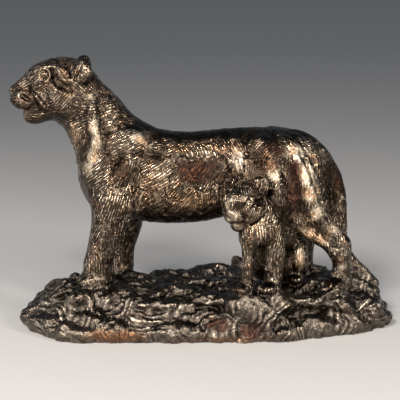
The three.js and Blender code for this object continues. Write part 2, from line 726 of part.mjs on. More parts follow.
// Thins a closed mesh by joining the two ends of the edge that matters least, again and again.
// The mesh stays closed: an edge is kept where its ends share more than two neighbours.
class Thinner {
  constructor({ positions, faces }) {
    this.p = positions;
    this.faces = faces;
    this.alive = faces.length / 3;
    this.around = Array.from({ length: positions.length / 3 }, () => []);
    this.planes = Array.from({ length: positions.length / 3 }, () => new Float64Array(10));
    this.version = new Uint32Array(positions.length / 3);
    for (let f = 0; f < faces.length; f += 3) {
      const [nx, ny, nz, area] = this.normal(faces[f], faces[f + 1], faces[f + 2]);
      const a = 3 * faces[f];
      const d = -(nx * this.p[a] + ny * this.p[a + 1] + nz * this.p[a + 2]);
      const plane = [nx * nx, nx * ny, nx * nz, nx * d, ny * ny, ny * nz, ny * d, nz * nz, nz * d, d * d];
      const share = area * importance(this.p[a], this.p[a + 1], this.p[a + 2]);
      for (let n = 0; n < 3; n++) {
        this.around[faces[f + n]].push(f);
        plane.forEach((value, i) => (this.planes[faces[f + n]][i] += value * share));
      }
    }
  }
  normal(a, b, c) {
    const p = this.p;
    const ux = p[3 * b] - p[3 * a];
    const uy = p[3 * b + 1] - p[3 * a + 1];
    const uz = p[3 * b + 2] - p[3 * a + 2];
    const vx = p[3 * c] - p[3 * a];
    const vy = p[3 * c + 1] - p[3 * a + 1];
    const vz = p[3 * c + 2] - p[3 * a + 2];
    const nx = uy * vz - uz * vy;
    const ny = uz * vx - ux * vz;
    const nz = ux * vy - uy * vx;
    const length = Math.hypot(nx, ny, nz) || 1e-12;
    return [nx / length, ny / length, nz / length, length / 2];
  }
  neighbours(v) {
    const found = new Set();
    for (const f of this.around[v]) for (let n = 0; n < 3; n++) found.add(this.faces[f + n]);
    found.delete(v);
    return found;
  }
  // The best place for the joined point, and what the join costs
  join(a, b) {
    const q = this.planes[a].map((value, i) => value + this.planes[b][i]);
    const [xx, xy, xz, xd, yy, yz, yd, zz, zd, dd] = q;
    const cost = (x, y, z) =>
      x * x * xx + 2 * x * y * xy + 2 * x * z * xz + 2 * x * xd + y * y * yy + 2 * y * z * yz + 2 * y * yd +
      z * z * zz + 2 * z * zd + dd;
    const ends = [a, b].map((v) => [this.p[3 * v], this.p[3 * v + 1], this.p[3 * v + 2]]);
    const middle = ends[0].map((value, n) => (value + ends[1][n]) / 2);
    const choices = [...ends, middle];
    const det = xx * (yy * zz - yz * yz) - xy * (xy * zz - yz * xz) + xz * (xy * yz - yy * xz);
    const size = xx + yy + zz;
    if (Math.abs(det) > 1e-5 * size * size * size) {
      const best = [
        (-xd * (yy * zz - yz * yz) + yd * (xy * zz - xz * yz) - zd * (xy * yz - xz * yy)) / det,
        (xd * (xy * zz - yz * xz) - yd * (xx * zz - xz * xz) + zd * (xx * yz - xy * xz)) / det,
        (-xd * (xy * yz - yy * xz) + yd * (xx * yz - xz * xy) - zd * (xx * yy - xy * xy)) / det,
      ];
      if (Math.hypot(...best.map((value, n) => value - middle[n])) < 4 * CELL) choices.push(best);
    }
    let chosen = null;
    for (const c of choices) {
      const price = cost(...c);
      if (!chosen || price < chosen.price) chosen = { price, at: c };
    }
    return chosen;
  }
  offer(heap, a, b) {
    const { price, at } = this.join(a, b);
    const length = Math.hypot(this.p[3 * a] - this.p[3 * b], this.p[3 * a + 1] - this.p[3 * b + 1],
      this.p[3 * a + 2] - this.p[3 * b + 2]);
    heap.push([price + 1e-4 * length * length, a, b, this.version[a], this.version[b], at]);
  }
  folds(v, other, at) {
    for (const f of this.around[v]) {
      const [a, b, c] = [this.faces[f], this.faces[f + 1], this.faces[f + 2]];
      if (a === other || b === other || c === other) continue;
      const before = this.normal(a, b, c);
      const kept = [this.p[3 * v], this.p[3 * v + 1], this.p[3 * v + 2]];
      at.forEach((value, n) => (this.p[3 * v + n] = value));
      const after = this.normal(a, b, c);
      kept.forEach((value, n) => (this.p[3 * v + n] = value));
      const turned = before[0] * after[0] + before[1] * after[1] + before[2] * after[2];
      if (turned < LEAST_TURN_KEPT || after[3] < SMALLEST_FACE) return true;
    }
    return false;
  }
  thin(goal) {
    const heap = new Heap();
    for (let f = 0; f < this.faces.length; f += 3)
      for (let n = 0; n < 3; n++) {
        const a = this.faces[f + n];
        const b = this.faces[f + ((n + 1) % 3)];
        if (a < b) this.offer(heap, a, b);
      }
    while (this.alive > goal && heap.items.length) {
      const [, a, b, va, vb, at] = heap.pop();
      if (this.version[a] !== va || this.version[b] !== vb) continue;
      const nextToB = this.neighbours(b);
      const shared = [...this.neighbours(a)].filter((v) => nextToB.has(v));
      if (shared.length !== 2 || this.folds(a, b, at) || this.folds(b, a, at)) continue;
      at.forEach((value, n) => (this.p[3 * a + n] = value));
      this.planes[a] = this.planes[a].map((value, i) => value + this.planes[b][i]);
      for (const f of this.around[b]) {
        const corners = [this.faces[f], this.faces[f + 1], this.faces[f + 2]];
        if (corners.includes(a)) {
          for (const v of corners) if (v !== b) this.around[v] = this.around[v].filter((g) => g !== f);
          this.faces[f] = -1;
          this.alive--;
        } else {
          this.faces[f + corners.indexOf(b)] = a;
          this.around[a].push(f);
        }
      }
      this.around[b] = [];
      this.version[a]++;
      this.version[b] = 0xffffffff;
      for (const v of this.neighbours(a)) this.offer(heap, a, v);
    }
    return { positions: this.p, faces: this.faces.filter((_, i) => this.faces[i - (i % 3)] !== -1) };
  }
}

// Closed meshes as solids, and back

const wasm = await Module();
wasm.setup();

function solidOf(positions, faces) {
  const used = new Map();
  const vertices = [];
  const corners = Array.from(faces, (v) => {
    if (!used.has(v)) {
      used.set(v, used.size);
      vertices.push(positions[3 * v], positions[3 * v + 1], positions[3 * v + 2]);
    }
    return used.get(v);
  });
  const vertProperties = new Float32Array(vertices);
  const triVerts = new Uint32Array(corners);
  return new wasm.Manifold(new wasm.Mesh({ numProp: 3, vertProperties, triVerts }));
}

function boxSolid(low, high) {
  const size = high.map((value, n) => value - low[n]);
  const middle = high.map((value, n) => (value + low[n]) / 2);
  const box = new THREE.BoxGeometry(...size).translate(...middle);
  const merged = new Map();
  const positions = [];
  const place = box.getAttribute("position");
  const corners = Array.from(box.index.array, (v) => {
    const key = [place.getX(v), place.getY(v), place.getZ(v)].join();
    if (!merged.has(key)) {
      merged.set(key, merged.size);
      positions.push(place.getX(v), place.getY(v), place.getZ(v));
    }
    return merged.get(key);
  });
  return solidOf(positions, corners);
}

function geometryOf(solid) {
  const { vertProperties, triVerts } = solid.getMesh();
  return new THREE.BufferGeometry()
    .setAttribute("position", new THREE.BufferAttribute(new Float32Array(vertProperties), 3))
    .setIndex(new THREE.BufferAttribute(new Uint32Array(triVerts), 1));
}

// The work itself

function castGroup() {
  const figures = [
    ...trunk(),
    ...tail(),
    ...farFrontLeg(),
    ...farHindLeg(),
    ...nearFrontLeg(),
    ...nearHindLeg(),
    ...placed(catHead({ eye: 0.92 }), HEAD_AT, { turn: HEAD_TURN }),
    ...cub(),
  ];
  const box = new THREE.Box3(new THREE.Vector3(-214, -92, -9.3), new THREE.Vector3(214, 96, 302));
  const samples = sampleClay(rocks(), figures, box);
  const skin = drawSkin(samples, box.min.toArray());
  const thinned = new Thinner(skin).thin(FACES);
  const underside = boxSolid([-300, -200, -60], [300, 200, 0]);
  return solidOf(thinned.positions, thinned.faces).subtract(underside);
}

const bronze = new THREE.MeshStandardMaterial({ color: 0x4a3a2a, metalness: 0.85, roughness: 0.32 });
const figure = new THREE.Mesh(geometryOf(castGroup()), bronze);
figure.name = "lioness_and_cub";
figure.position.set(-BOX_MIDDLE[0], -BOX_MIDDLE[1], 0);

const group = new THREE.Group();
group.add(figure);
export default group;
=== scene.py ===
"""A cast lioness standing over her cub on a rocky oval base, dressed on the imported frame.

The casting is one piece. It is worked out as clay in millimetres, on the same axes and from the
same values as its solid, then chased with fur and rock at a finer scale and given its patina.
"""

import logging
import math
from dataclasses import dataclass, field, replace
from enum import IntEnum
from typing import Callable, Sequence

import bpy
import numpy as np
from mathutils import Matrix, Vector


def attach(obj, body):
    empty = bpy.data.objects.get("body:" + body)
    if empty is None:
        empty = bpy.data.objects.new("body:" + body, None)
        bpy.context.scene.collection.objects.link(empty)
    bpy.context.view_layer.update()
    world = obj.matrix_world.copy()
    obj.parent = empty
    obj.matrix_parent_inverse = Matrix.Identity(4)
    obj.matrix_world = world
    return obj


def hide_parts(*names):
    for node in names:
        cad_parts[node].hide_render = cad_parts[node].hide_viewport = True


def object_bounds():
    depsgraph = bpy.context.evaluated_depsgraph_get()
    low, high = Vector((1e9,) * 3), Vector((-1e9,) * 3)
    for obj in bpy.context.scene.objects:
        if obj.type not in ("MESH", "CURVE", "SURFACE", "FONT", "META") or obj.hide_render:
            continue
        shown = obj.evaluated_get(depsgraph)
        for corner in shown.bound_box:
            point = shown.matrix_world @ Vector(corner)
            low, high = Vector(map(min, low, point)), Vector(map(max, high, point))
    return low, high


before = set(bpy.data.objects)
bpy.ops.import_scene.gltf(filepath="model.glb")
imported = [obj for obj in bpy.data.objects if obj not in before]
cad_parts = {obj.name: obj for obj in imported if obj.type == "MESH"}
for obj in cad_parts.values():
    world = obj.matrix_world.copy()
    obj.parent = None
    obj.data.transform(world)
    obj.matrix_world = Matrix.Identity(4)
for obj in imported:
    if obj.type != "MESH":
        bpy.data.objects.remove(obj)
CAD_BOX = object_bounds()

LOG = logging.getLogger("lioness")
MM = 0.001

# Values shared with the solid, in millimetres and degrees
SPINE_Y = 8.0
BOX_MIDDLE = (-2.3, 2.7)
HEAD_AT = (-150.0, SPINE_Y, 252.0)
HEAD_TURN = 5.0
CUB_HEAD_AT = (39.0, -49.0, 141.0)
CUB_HEAD_SCALE = 0.73
CUB_HEAD_SET = {"turn": 60.0, "lean": -8.0, "tip": -3.0}
REACH = 9.0

Point = Sequence[float]
Array = np.ndarray
Color = tuple[float, float, float]
Socket = bpy.types.NodeSocket


class Side(IntEnum):
    """Which side of the lioness's spine a form lies on."""

    NEAR = -1
    FAR = 1


# Clay


def smooth_union(a: Array, b: Array, k: float) -> Array:
    """Join two distances with a soft fillet k wide."""
    h = np.maximum(k - np.abs(a - b), 0.0) / k
    return np.minimum(a, b) - h * h * (k * 0.25)


def smooth_cut(a: Array, b: Array, k: float) -> Array:
    """Press the shape at distance b into the one at distance a, softly."""
    return -smooth_union(-a, b, k)


def turned(lean: float = 0.0, turn: float = 0.0, tip: float = 0.0) -> Array:
    """Rotation by tip about X, then lean about Y, then turn about Z, in degrees.

    Args:
        lean: turn about Y.
        turn: turn about Z.
        tip: turn about X.

    Returns:
        The rotation as a 3 by 3 matrix.
    """
    cx, cy, cz = (math.cos(math.radians(a)) for a in (tip, lean, turn))
    sx, sy, sz = (math.sin(math.radians(a)) for a in (tip, lean, turn))
    about_x = np.array([[1, 0, 0], [0, cx, -sx], [0, sx, cx]])
    about_y = np.array([[cy, 0, sy], [0, 1, 0], [-sy, 0, cy]])
    about_z = np.array([[cz, -sz, 0], [sz, cz, 0], [0, 0, 1]])
    return about_z @ about_y @ about_x


def smooth_path(points: Array, steps: int, closed: bool = False) -> Array:
    """Points along the smooth curve that passes through every given point.

    Args:
        points: one row a point, of any width.
        steps: how many steps each span is drawn in.
        closed: whether the curve runs back to its first point.

    Returns:
        The points of the curve, both ends included.
    """
    if closed:
        p = np.vstack([points[-1], points, points[0], points[1]])
    else:
        p = np.vstack([2 * points[0] - points[1], points, 2 * points[-1] - points[-2]])
    t = (np.arange(steps) / steps)[:, None]
    spans = []
    for a, b, c, d in zip(p[:-3], p[1:-2], p[2:-1], p[3:]):
        m0, m1 = (c - a) / 2, (d - b) / 2
        spans.append(b + m0 * t + (3 * (c - b) - 2 * m0 - m1) * t**2 + (2 * (b - c) + m0 + m1) * t**3)
    spans.append(p[-2][None, :])
    return np.vstack(spans)


def away_from(points: Array, place: Point, ahead: float = 0.0) -> Array:
    """Distance of each point from a place, or from one that far ahead of it, towards -X."""
    return np.linalg.norm(points - np.array(place) + [ahead, 0, 0], axis=1)


def spread(values: Array, low: float, high: float, least: float = 0.0) -> Array:
    """Values spread from 0 at low to 1 at high, and held at or above the least."""
    return np.clip((values - low) / (high - low), least, 1)


@dataclass(frozen=True)
class Lump:
    """An ellipsoid of clay, or a hollow of that shape."""

    at: Point
    radii: Point
    blend: float
    carve: bool
    axes: Array = field(repr=False, compare=False)

    def box(self) -> tuple[Array, Array]:
        """Lowest and highest corner of the space that the lump can change."""
        r = max(self.radii) + REACH + self.blend
        return np.array(self.at) - r, np.array(self.at) + r

    def distance(self, p: Array) -> Array:
        """Measure how far places are from the lump's skin.

        Args:
            p: places, one row each.

        Returns:
            Distances, negative inside.
        """
        q = (p - np.array(self.at, np.float32)) @ self.axes.astype(np.float32)
        radii = np.array(self.radii, np.float32)
        units = np.sqrt(np.sum((q / radii) ** 2, axis=1))
        slope = np.sqrt(np.sum((q / radii**2) ** 2, axis=1))
        return np.where(slope < 1e-9, -min(self.radii), units * (units - 1) / np.maximum(slope, 1e-9))

    def moved(self, move: Callable[[Point], Point], turn: Array, scale: float) -> "Lump":
        """The same lump, scaled and turned with the whole that it belongs to."""
        return replace(self, at=move(self.at), radii=tuple(r * scale for r in self.radii),
                       blend=self.blend * scale, axes=turn @ self.axes)


@dataclass(frozen=True)
class Roll:
    """A roll of clay along a smooth path of (x, y, z, radius), or a groove of that shape."""

    path: Sequence[Point]
    blend: float
    carve: bool
    flat: float
    steps: int = 4

    def box(self) -> tuple[Array, Array]:
        """Find the space that the roll can change.

        Returns:
            Its lowest and its highest corner.
        """
        p = np.array(self.path, float)
        reach = REACH + self.blend
        return (p[:, :3] - p[:, 3:]).min(0) - reach, (p[:, :3] + p[:, 3:]).max(0) + reach

    def distance(self, p: Array) -> Array:
        """Measure how far places are from the roll's skin.

        Args:
            p: places, one row each.

        Returns:
            Distances, negative inside.
        """
        line = smooth_path(np.array(self.path, float), self.steps).astype(np.float32)
        x, y, z = p[:, 0], p[:, 1] / self.flat, p[:, 2]
        nearest = np.full(len(p), np.inf, np.float32)
        for a, b in zip(line[:-1], line[1:]):
            ux, uy, uz = b[0] - a[0], (b[1] - a[1]) / self.flat, b[2] - a[2]
            px, py, pz = x - a[0], y - a[1] / self.flat, z - a[2]
            t = np.clip((px * ux + py * uy + pz * uz) / (ux * ux + uy * uy + uz * uz), 0, 1)
            away = np.sqrt((px - t * ux) ** 2 + (py - t * uy) ** 2 + (pz - t * uz) ** 2)
            np.minimum(nearest, away - a[3] - t * (b[3] - a[3]), out=nearest)
        return nearest

    def moved(self, move: Callable[[Point], Point], turn: Array, scale: float) -> "Roll":
        """The same roll, scaled and turned with the whole that it belongs to."""
        path = tuple((*move(p[:3]), p[3] * scale) for p in self.path)
        return replace(self, path=path, blend=self.blend * scale)


Clay = Lump | Roll


def lump(at: Point, radii: Point, blend: float = 8.0, carve: bool = False, **angles: float) -> Lump:
    """Lay on an ellipsoid of clay, or press it in."""
    return Lump(tuple(at), tuple(radii), blend, carve, turned(**angles))


def roll(path: Sequence[Point], blend: float = 8.0, carve: bool = False, flat: float = 1.0) -> Roll:
    """Lay on a roll of clay, or press it in."""
    return Roll(tuple(tuple(p) for p in path), blend, carve, flat)


def placed(clay: Sequence[Clay], at: Point, scale: float = 1.0, **angles: float) -> list[Clay]:
    """Scale and turn clay about its own origin and set it down at a place.

    Args:
        clay: the clay, about its own origin.
        at: where the origin comes to lie.
        scale: how many times its own size.
        angles: lean, turn and tip in degrees.

    Returns:
        The clay in its place.
    """
    turn = turned(**angles)

    def move(p: Point) -> Point:
        """Where a point of the clay comes to lie."""
        return tuple(turn @ (np.array(p, float) * scale) + np.array(at, float))

    return [piece.moved(move, turn, scale) for piece in clay]


def both_sides(make: Callable[[Side], list[Clay]]) -> list[Clay]:
    """The same clay on the near side and on the far side."""
    return make(Side.NEAR) + make(Side.FAR)


def across(side: Side, out: float) -> float:
    """Distance from the lioness's own middle plane, on one side or the other."""
    return SPINE_Y + side * out


# The animals


@dataclass(frozen=True)
class CatHead:
    """A big cat's head about the middle of its skull, with the muzzle towards -X."""

    eye: float = 1.0
    muzzle: float = 1.0
    ears: tuple[float, float] = (1.0, 1.0)
    crown: float = 1.0
    eye_at: tuple[float, float, float] = (-19.0, 18.4, 19.5)
    fall_away: float = 0.42
    pad: float = 1.0
    cup: float = 3.6
    lid_radii: tuple[float, float] = (6.2, 6.6)

    def clay(self) -> list[Clay]:
        """Model skull, jaws, cheeks, eyes and ears.

        Returns:
            Clay about the middle of the skull.
        """
        m, c, pad = self.muzzle, self.crown, self.pad
        return [
            lump((2, 0, 5), (32, 25, 31), 10),
            lump((-14, 0, 12), (23 * c, 19 * c, 20 * c), 10),
            roll([(-26, 0, 13, 13), (-38.5 * m, 0, 6.5, 10), (-48.5 * m, 0, 1, 8)], 8),
            lump((-53 * m, 0, 1), (5, 7, 4.5), 2.5),
            lump((-32 * m, 0, -24.5 * pad), (12 * m, 10 * pad, 10.5 * pad), 7),
            lump((-1, 0, -24), (13, 12, 11), 6),
            lump((-22 * m, 0, -23), (12, 13, 8.5), 6),
            *both_sides(self.cheek),
            *both_sides(self.mouth_and_nose),
            *both_sides(self.eye_and_brow),
            *self.ear(Side.NEAR, self.ears[0]),
            *self.ear(Side.FAR, self.ears[1]),
        ]

    def cheek(self, s: Side) -> list[Clay]:
        """Model the whisker pad, the cheek and the edge of the jaw.

        Args:
            s: which side of the head.

        Returns:
            Clay about the middle of the skull.
        """
        m, pad = self.muzzle, self.pad
        return [
            lump((-42 * m, s * 7 * pad, -7 * pad), (14 * m, 9.5 * pad, 11.5 * pad), 4),
            lump((-8, s * 15, -5), (20, 12, 18), 8),
            lump((-18, s * 14, 4), (13, 7, 7), 7),
            roll([(-24 * m, s * 5, -21, 8), (3, s * 12, -14, 12)], 7),
        ]

    def mouth_and_nose(self, s: Side) -> list[Clay]:
        """Model the parted lips, the nostril and its slit, and the folds over the cheek.

        Args:
            s: which side of the head.

        Returns:
            Clay about the middle of the skull.
        """
        m = self.muzzle
        return [
            roll([(-49 * m, 0, -18.5, 1.5), (-43 * m, s * 9, -20.5, 1.9),
                  (-31 * m, s * 14.5, -20.5, 2.6), (-18 * m, s * 18, -18, 1.8)], 1.5, carve=True),
            roll([(-45 * m, s * 14, -1.5, 1.9), (-39 * m, s * 16, -5.5, 2.8),
                  (-33 * m, s * 16.6, -10, 2.4)], 0.8, carve=True),
            lump((-47 * m, s * 13.2, -2.5), (2.2, 2.4, 3), 0.8),
            roll([(-53 * m, s * 5.5, 2.5, 1.2), (-50.5 * m, s * 7.5, 0.5, 1.4)], 1, carve=True),
            roll([(-36 * m, s * 13.8, 2, 1.2), (-28 * m, s * 20.4, -3.5, 2),
                  (-21 * m, s * 23, -13.5, 1.3)], 0.8),
            roll([(-32 * m, s * 18, 5, 1.2), (-23.5 * m, s * 23.6, -1, 2),
                  (-16.5 * m, s * 25.2, -11.5, 1.3)], 0.8),
            roll([(-25 * m, s * 20.6, 8, 1.2), (-16 * m, s * 26.2, 2, 1.9),
                  (-10 * m, s * 27, -8, 1.3)], 0.8),
        ]

    def eye_and_brow(self, s: Side) -> list[Clay]:
        """Model socket, eyeball, lids, brow, cheekbone and the hollow behind them.

        Args:
            s: which side of the head.

        Returns:
            Clay about the middle of the skull.
        """
        x, y, z = self.eye_at
        size = self.eye
        lid = []
        for eighth in range(9):
            angle = eighth * math.pi / 4
            along = self.lid_radii[0] * size * math.cos(angle)
            up = self.lid_radii[1] * size * math.sin(angle)
            lid.append((x + along, s * (y + self.fall_away * along), z + up, 1.7 * size))
        return [
            lump((x, s * (y + 3.1), z), (10 * size, 6, 8.4 * size), 4, carve=True, turn=s * -23),
            lump((x, s * (y - 3.6), z), (5.2 * size, 6, 4.6 * size), 0.6),
            lump((x - 1.5, s * (y + 2.4), z - 0.6), (1.7 * size, 1.8, 1.9 * size), 0.6, carve=True),
            roll(lid, 0.9),
            roll([(-32, s * 9, z - 1.5, 1.2), (-22, s * 15, z + 8, 1.8), (-10, s * 18.4, z + 8.5, 1.5),
                  (1, s * 19.4, z + 3.5, 1)], 4),
            roll([(-10, s * 21, z + 1.5, 2.4), (-6.5, s * 25.4, z - 7, 4.2),
                  (7, s * 27.4, 5, 4.4)], 3, carve=True),
            roll([(-30, s * 13, z - 10.5, 2.2), (-20, s * 18.5, z - 11, 3), (-10, s * 22, z - 12.5, 3)], 3),
        ]

    def ear(self, s: Side, size: float) -> list[Clay]:
        """Model a round ear with a shallow cup and a tuft at its foot.

        Args:
            s: which side of the head.
            size: how many times the usual size.

        Returns:
            Clay about the middle of the skull.
        """
        turn, lean = s * -40, 12
        return [
            lump((19.5, s * 18, 22), (7.5 * size, 12 * size, 14.5 * size), 4, turn=turn, lean=lean),
            lump((12.2, s * 24, 25), (self.cup * size, 7.5 * size, 9.5 * size), 2, carve=True,
                 turn=turn, lean=lean),
            roll([(11, s * 20, 15, 1.5), (14.5, s * 22.5, 24, 1.7), (19, s * 21, 33, 1.3)], 1),
            roll([(14, s * 23.5, 13, 1.5), (18, s * 26, 21, 1.6), (22, s * 24.5, 29, 1.2)], 1),
            lump((15, s * 19, 14), (7, 6, 6), 3),
        ]

    def bare_places(self) -> list[tuple[float, float, float, float]]:
        """List the places that carry no fur: eyes, nose, whisker pads and lips.

        Returns:
            Each as (x, y, z, radius) about the middle of the skull.
        """
        x, y, z = self.eye_at
        m, eye = self.muzzle, 7 * self.eye
        return [(x, y, z, eye), (x, -y, z, eye), (-52 * m, 0, 1, 8),
                (-40 * m, 14, -7, 5), (-40 * m, -14, -7, 5), (-44 * m, 0, -19, 8)]


@dataclass(frozen=True)
class Paw:
    """A paw with four toes towards -X."""

    width: float = 13.0
    toes: tuple[float, ...] = (-9.3, -3.3, 3.3, 9.3)

    def clay(self, at: Point, turn: float = 0.0, size: float = 1.0) -> list[Clay]:
        """The paw set down at a place."""
        toes = [lump((-12 + abs(toe) * 0.35, toe, -1), (8, 4.2, 7), 1.8) for toe in self.toes]
        return placed([lump((0, 0, 0), (16, self.width, 9), 8), *toes], at, scale=size, turn=turn)


@dataclass(frozen=True)
class Lioness:
    """The lioness from nose to tail, standing with her head raised."""

    head: CatHead = CatHead(eye=0.92)
    paw: Paw = Paw()
    far_foreleg_back: float = 10.0
    far_thigh_forward: float = -6.0

    def clay(self) -> list[Clay]:
        """Lay up all of her, in the order in which the solid is laid up.

        Returns:
            Her clay.
        """
        return [
            *self.trunk(),
            *self.tail(),
            *self.far_foreleg(),
            *self.far_hind_leg(),
            *self.near_foreleg(),
            *self.near_hind_leg(),
            *placed(self.head.clay(), HEAD_AT, turn=HEAD_TURN),
            *self.creases(),
        ]

    def creases(self) -> list[Clay]:
        """Press in the crease under her chin and the one behind the near shoulder.

        Returns:
            The two creases.
        """
        return [
            lump((-165.5, SPINE_Y, 216), (5, 17, 4), 3, carve=True),
            roll([(-65, -27.5, 198.5, 1.6), (-55, -29.5, 194, 2.8), (-45, -30, 190, 1.8)],
                 1.5, carve=True),
        ]

    def trunk(self) -> list[Clay]:
        """Model barrel and neck, and the seam that the tail lies against.

        Returns:
            The trunk's clay.
        """
        y = SPINE_Y
        return [
            roll([(-92, y, 160, 44), (-55, y, 160, 49.5), (-15, y, 159.5, 49), (22, y, 165.5, 46.5),
                  (55, y, 171, 42.5), (85, y, 172, 39), (102, y, 168, 33)], 12, flat=0.7),
            roll([(-84, y, 175, 46), (-104, y, 200, 38), (-119, y, 224, 33.5), (-134, y, 243, 30)],
                 14, flat=0.78),
            roll([(104, y, 188, 14), (115, y, 165, 15), (121, y, 140, 13), (129, y, 120, 9),
                  (136, y, 104, 8)], 8),
            *both_sides(self.neck_muscles),
            *self.flank(Side.NEAR),
        ]

    def neck_muscles(self, side: Side) -> list[Clay]:
        """Model the groove behind the cheek, the neck's ridge and the groove behind it.

        Args:
            side: her near or her far side.

        Returns:
            The neck's clay on that side.
        """
        def y(out: float) -> float:
            """Distance across her, on this side."""
            return across(side, out)

        return [
            roll([(-123, y(30), 264, 2.4), (-126, y(32), 248, 3.2), (-130, y(30), 234, 3.2),
                  (-138, y(24), 221, 2.8)], 5, carve=True),
            roll([(-116, y(15), 254, 2), (-118, y(20), 243, 5), (-119, y(23), 232, 7.5),
                  (-116, y(24), 219, 8.5), (-113, y(24), 206, 8.5), (-116, y(22), 190, 8),
                  (-123, y(16), 172, 6)], 4),
            roll([(-106, y(31), 220, 2.4), (-103, y(33), 206, 4), (-106, y(33), 190, 4),
                  (-114, y(28), 174, 3)], 9, carve=True),
        ]

    def flank(self, side: Side) -> list[Clay]:
        """Model the fold from the hip down to the flank, and the hollow behind the ribs.

        Args:
            side: her near or her far side.

        Returns:
            The flank's clay on that side.
        """
        def y(out: float) -> float:
            """Distance across her, on this side."""
            return across(side, out)

        return [
            roll([(30, y(19), 200, 5), (34, y(24), 188, 9), (40, y(26), 171, 9), (50, y(27), 150, 7)], 10),
            lump((8, y(37), 168), (15, 5, 22), 10, carve=True),
        ]

    def shoulder(self, side: Side, shift: float = 0.0) -> list[Clay]:
        """Model shoulder blade, upper arm and elbow.

        Args:
            side: her near or her far side.
            shift: how far back this shoulder stands.

        Returns:
            The shoulder's clay on that side.
        """
        def y(out: float) -> float:
            """Distance across her, on this side."""
            return across(side, out)

        def x(value: float) -> float:
            """Distance along her, with this leg's own shift."""
            return value + shift

        return [
            lump((x(-84), y(21), 176), (21, 11, 37), 10, lean=16),
            lump((x(-100), y(24), 156), (26, 14, 34), 12),
            lump((x(-86), y(24), 143), (22, 12, 26), 10, lean=-12),
            roll([(x(-107), y(27), 188, 6), (x(-102), y(27), 201, 6.5), (x(-92), y(24), 207, 7),
                  (x(-81), y(20), 207, 7.5), (x(-69), y(18), 201, 7.5), (x(-59), y(20), 195, 6)], 4),
            lump((x(-54), y(33), 193), (13, 6, 5), 6, carve=True, lean=24),
            lump((x(-94), y(42), 187), (8, 8, 14), 7, carve=True, lean=18),
            roll([(x(-78), y(30), 182, 9), (x(-90), y(33), 165, 11), (x(-101), y(32), 146, 12)], 6),
            roll([(x(-82), y(32), 150, 9), (x(-84), y(33), 136, 10)], 6),
            roll([(x(-70), y(41), 160, 2.5), (x(-72), y(42), 148, 4.2), (x(-69), y(41), 135, 4.5),
                  (x(-64), y(37), 122, 3.5)], 9, carve=True),
        ]

    def near_foreleg(self) -> list[Clay]:
        """Model the near foreleg, from the shoulder's forms down to the paw.

        Returns:
            The leg's clay.
        """
        return [
            *self.shoulder(Side.NEAR),
            roll([(-100, -20, 140, 20.5), (-103, -21, 116, 18.5), (-110, -22, 92, 15),
                  (-114.5, -22, 72, 15), (-116, -22, 56, 14.5)], 8),
            roll([(-87, -26, 124, 8), (-96, -29, 104, 7), (-103, -28, 82, 6)], 4),
            lump((-119, -24, 71), (10, 12, 8), 5),
            *self.paw.clay((-119, -24, 54), 12),
        ]

    def far_foreleg(self) -> list[Clay]:
        """Model the far foreleg, a little behind the near one.

        Returns:
            The leg's clay.
        """
        return [
            *self.shoulder(Side.FAR, self.far_foreleg_back),
            roll([(-86, 33, 138, 20), (-86, 34, 104, 16), (-92, 35, 78, 13.5), (-94, 35, 56, 14)], 8),
            lump((-97, 36, 70), (9, 11, 8), 5),
            *self.paw.clay((-101, 36, 50), -6),
        ]

    def thigh(self, side: Side, shift: float = 0.0, soft: float = 1.0) -> list[Clay]:
        """Model the thigh's muscles down to the hock, and the grooves between them.

        Args:
            side: her near or her far side.
            shift: how far back this leg stands.
            soft: how many times softer the muscles run together.

        Returns:
            The thigh's clay on that side.
        """
        def y(out: float) -> float:
            """Distance across her, on this side."""
            return across(side, out)

        def x(value: float) -> float:
            """Distance along her, with this leg's own shift."""
            return value + shift

        return [
            lump((x(66), y(20), 166), (30, 18, 38), 12, lean=-8),
            lump((x(97), y(20), 163), (19, 17, 38), 8, lean=-4),
            roll([(x(58), y(22), 199, 7), (x(66), y(29), 185, 11), (x(71), y(34), 168, 13),
                  (x(76), y(36), 148, 13), (x(81), y(34), 130, 11)], 9 * soft),
            lump((x(52), y(45), 182), (8, 8, 14), 10, carve=True, lean=-12),
            roll([(x(76), y(13), 209, 2), (x(86), y(25), 199, 8.5), (x(94), y(31), 185, 11),
                  (x(102), y(35), 167, 12.5), (x(108), y(36), 148, 12.5), (x(115), y(34), 128, 11)],
                 5 * soft),
            roll([(x(82), y(8), 208, 2), (x(94), y(16), 202, 7), (x(104), y(20), 195, 8.5),
                  (x(111), y(23), 184, 8.5), (x(114), y(25), 170, 8), (x(117), y(25), 155, 7.5),
                  (x(122), y(25), 138, 7)], 4 * soft),
            roll([(x(68), y(37), 205, 3), (x(78), y(42), 189, 4.5), (x(86), y(47), 168, 5.5),
                  (x(91), y(49), 146, 5.5), (x(97), y(47), 128, 4)], 9 * soft, carve=True),
            roll([(x(98), y(38), 194, 2.2), (x(108), y(43), 176, 3), (x(114), y(43), 157, 3),
                  (x(120), y(39), 138, 2.4)], 4 * soft, carve=True),
        ]

    def near_hind_leg(self) -> list[Clay]:
        """Model the near hind leg, with shin, heel tendon and the hollow between them.

        Returns:
            The leg's clay.
        """
        return [
            roll([(88, -14, 150, 28), (102, -19, 128, 20), (122, -20, 106, 12.5), (140, -19, 92, 11),
                  (143, -19, 88, 10.5)], 10, flat=0.85),
            *self.thigh(Side.NEAR),
            roll([(92, -30, 122, 8), (108, -29, 107, 7), (126, -26, 95, 6.5), (138, -23, 82, 7)], 4),
            roll([(118, -28, 124, 8), (131, -24, 110, 7), (145, -20, 95, 7)], 4),
            roll([(112, -37, 116, 2.4), (126, -33, 103, 2.8), (137, -30, 93, 2.2)], 4, carve=True),
            roll([(143, -20, 90, 10.5), (144.5, -20, 70, 10), (143.5, -21, 54, 10.5)], 5),
            *self.paw.clay((141, -27, 50), 36, 0.92),
        ]

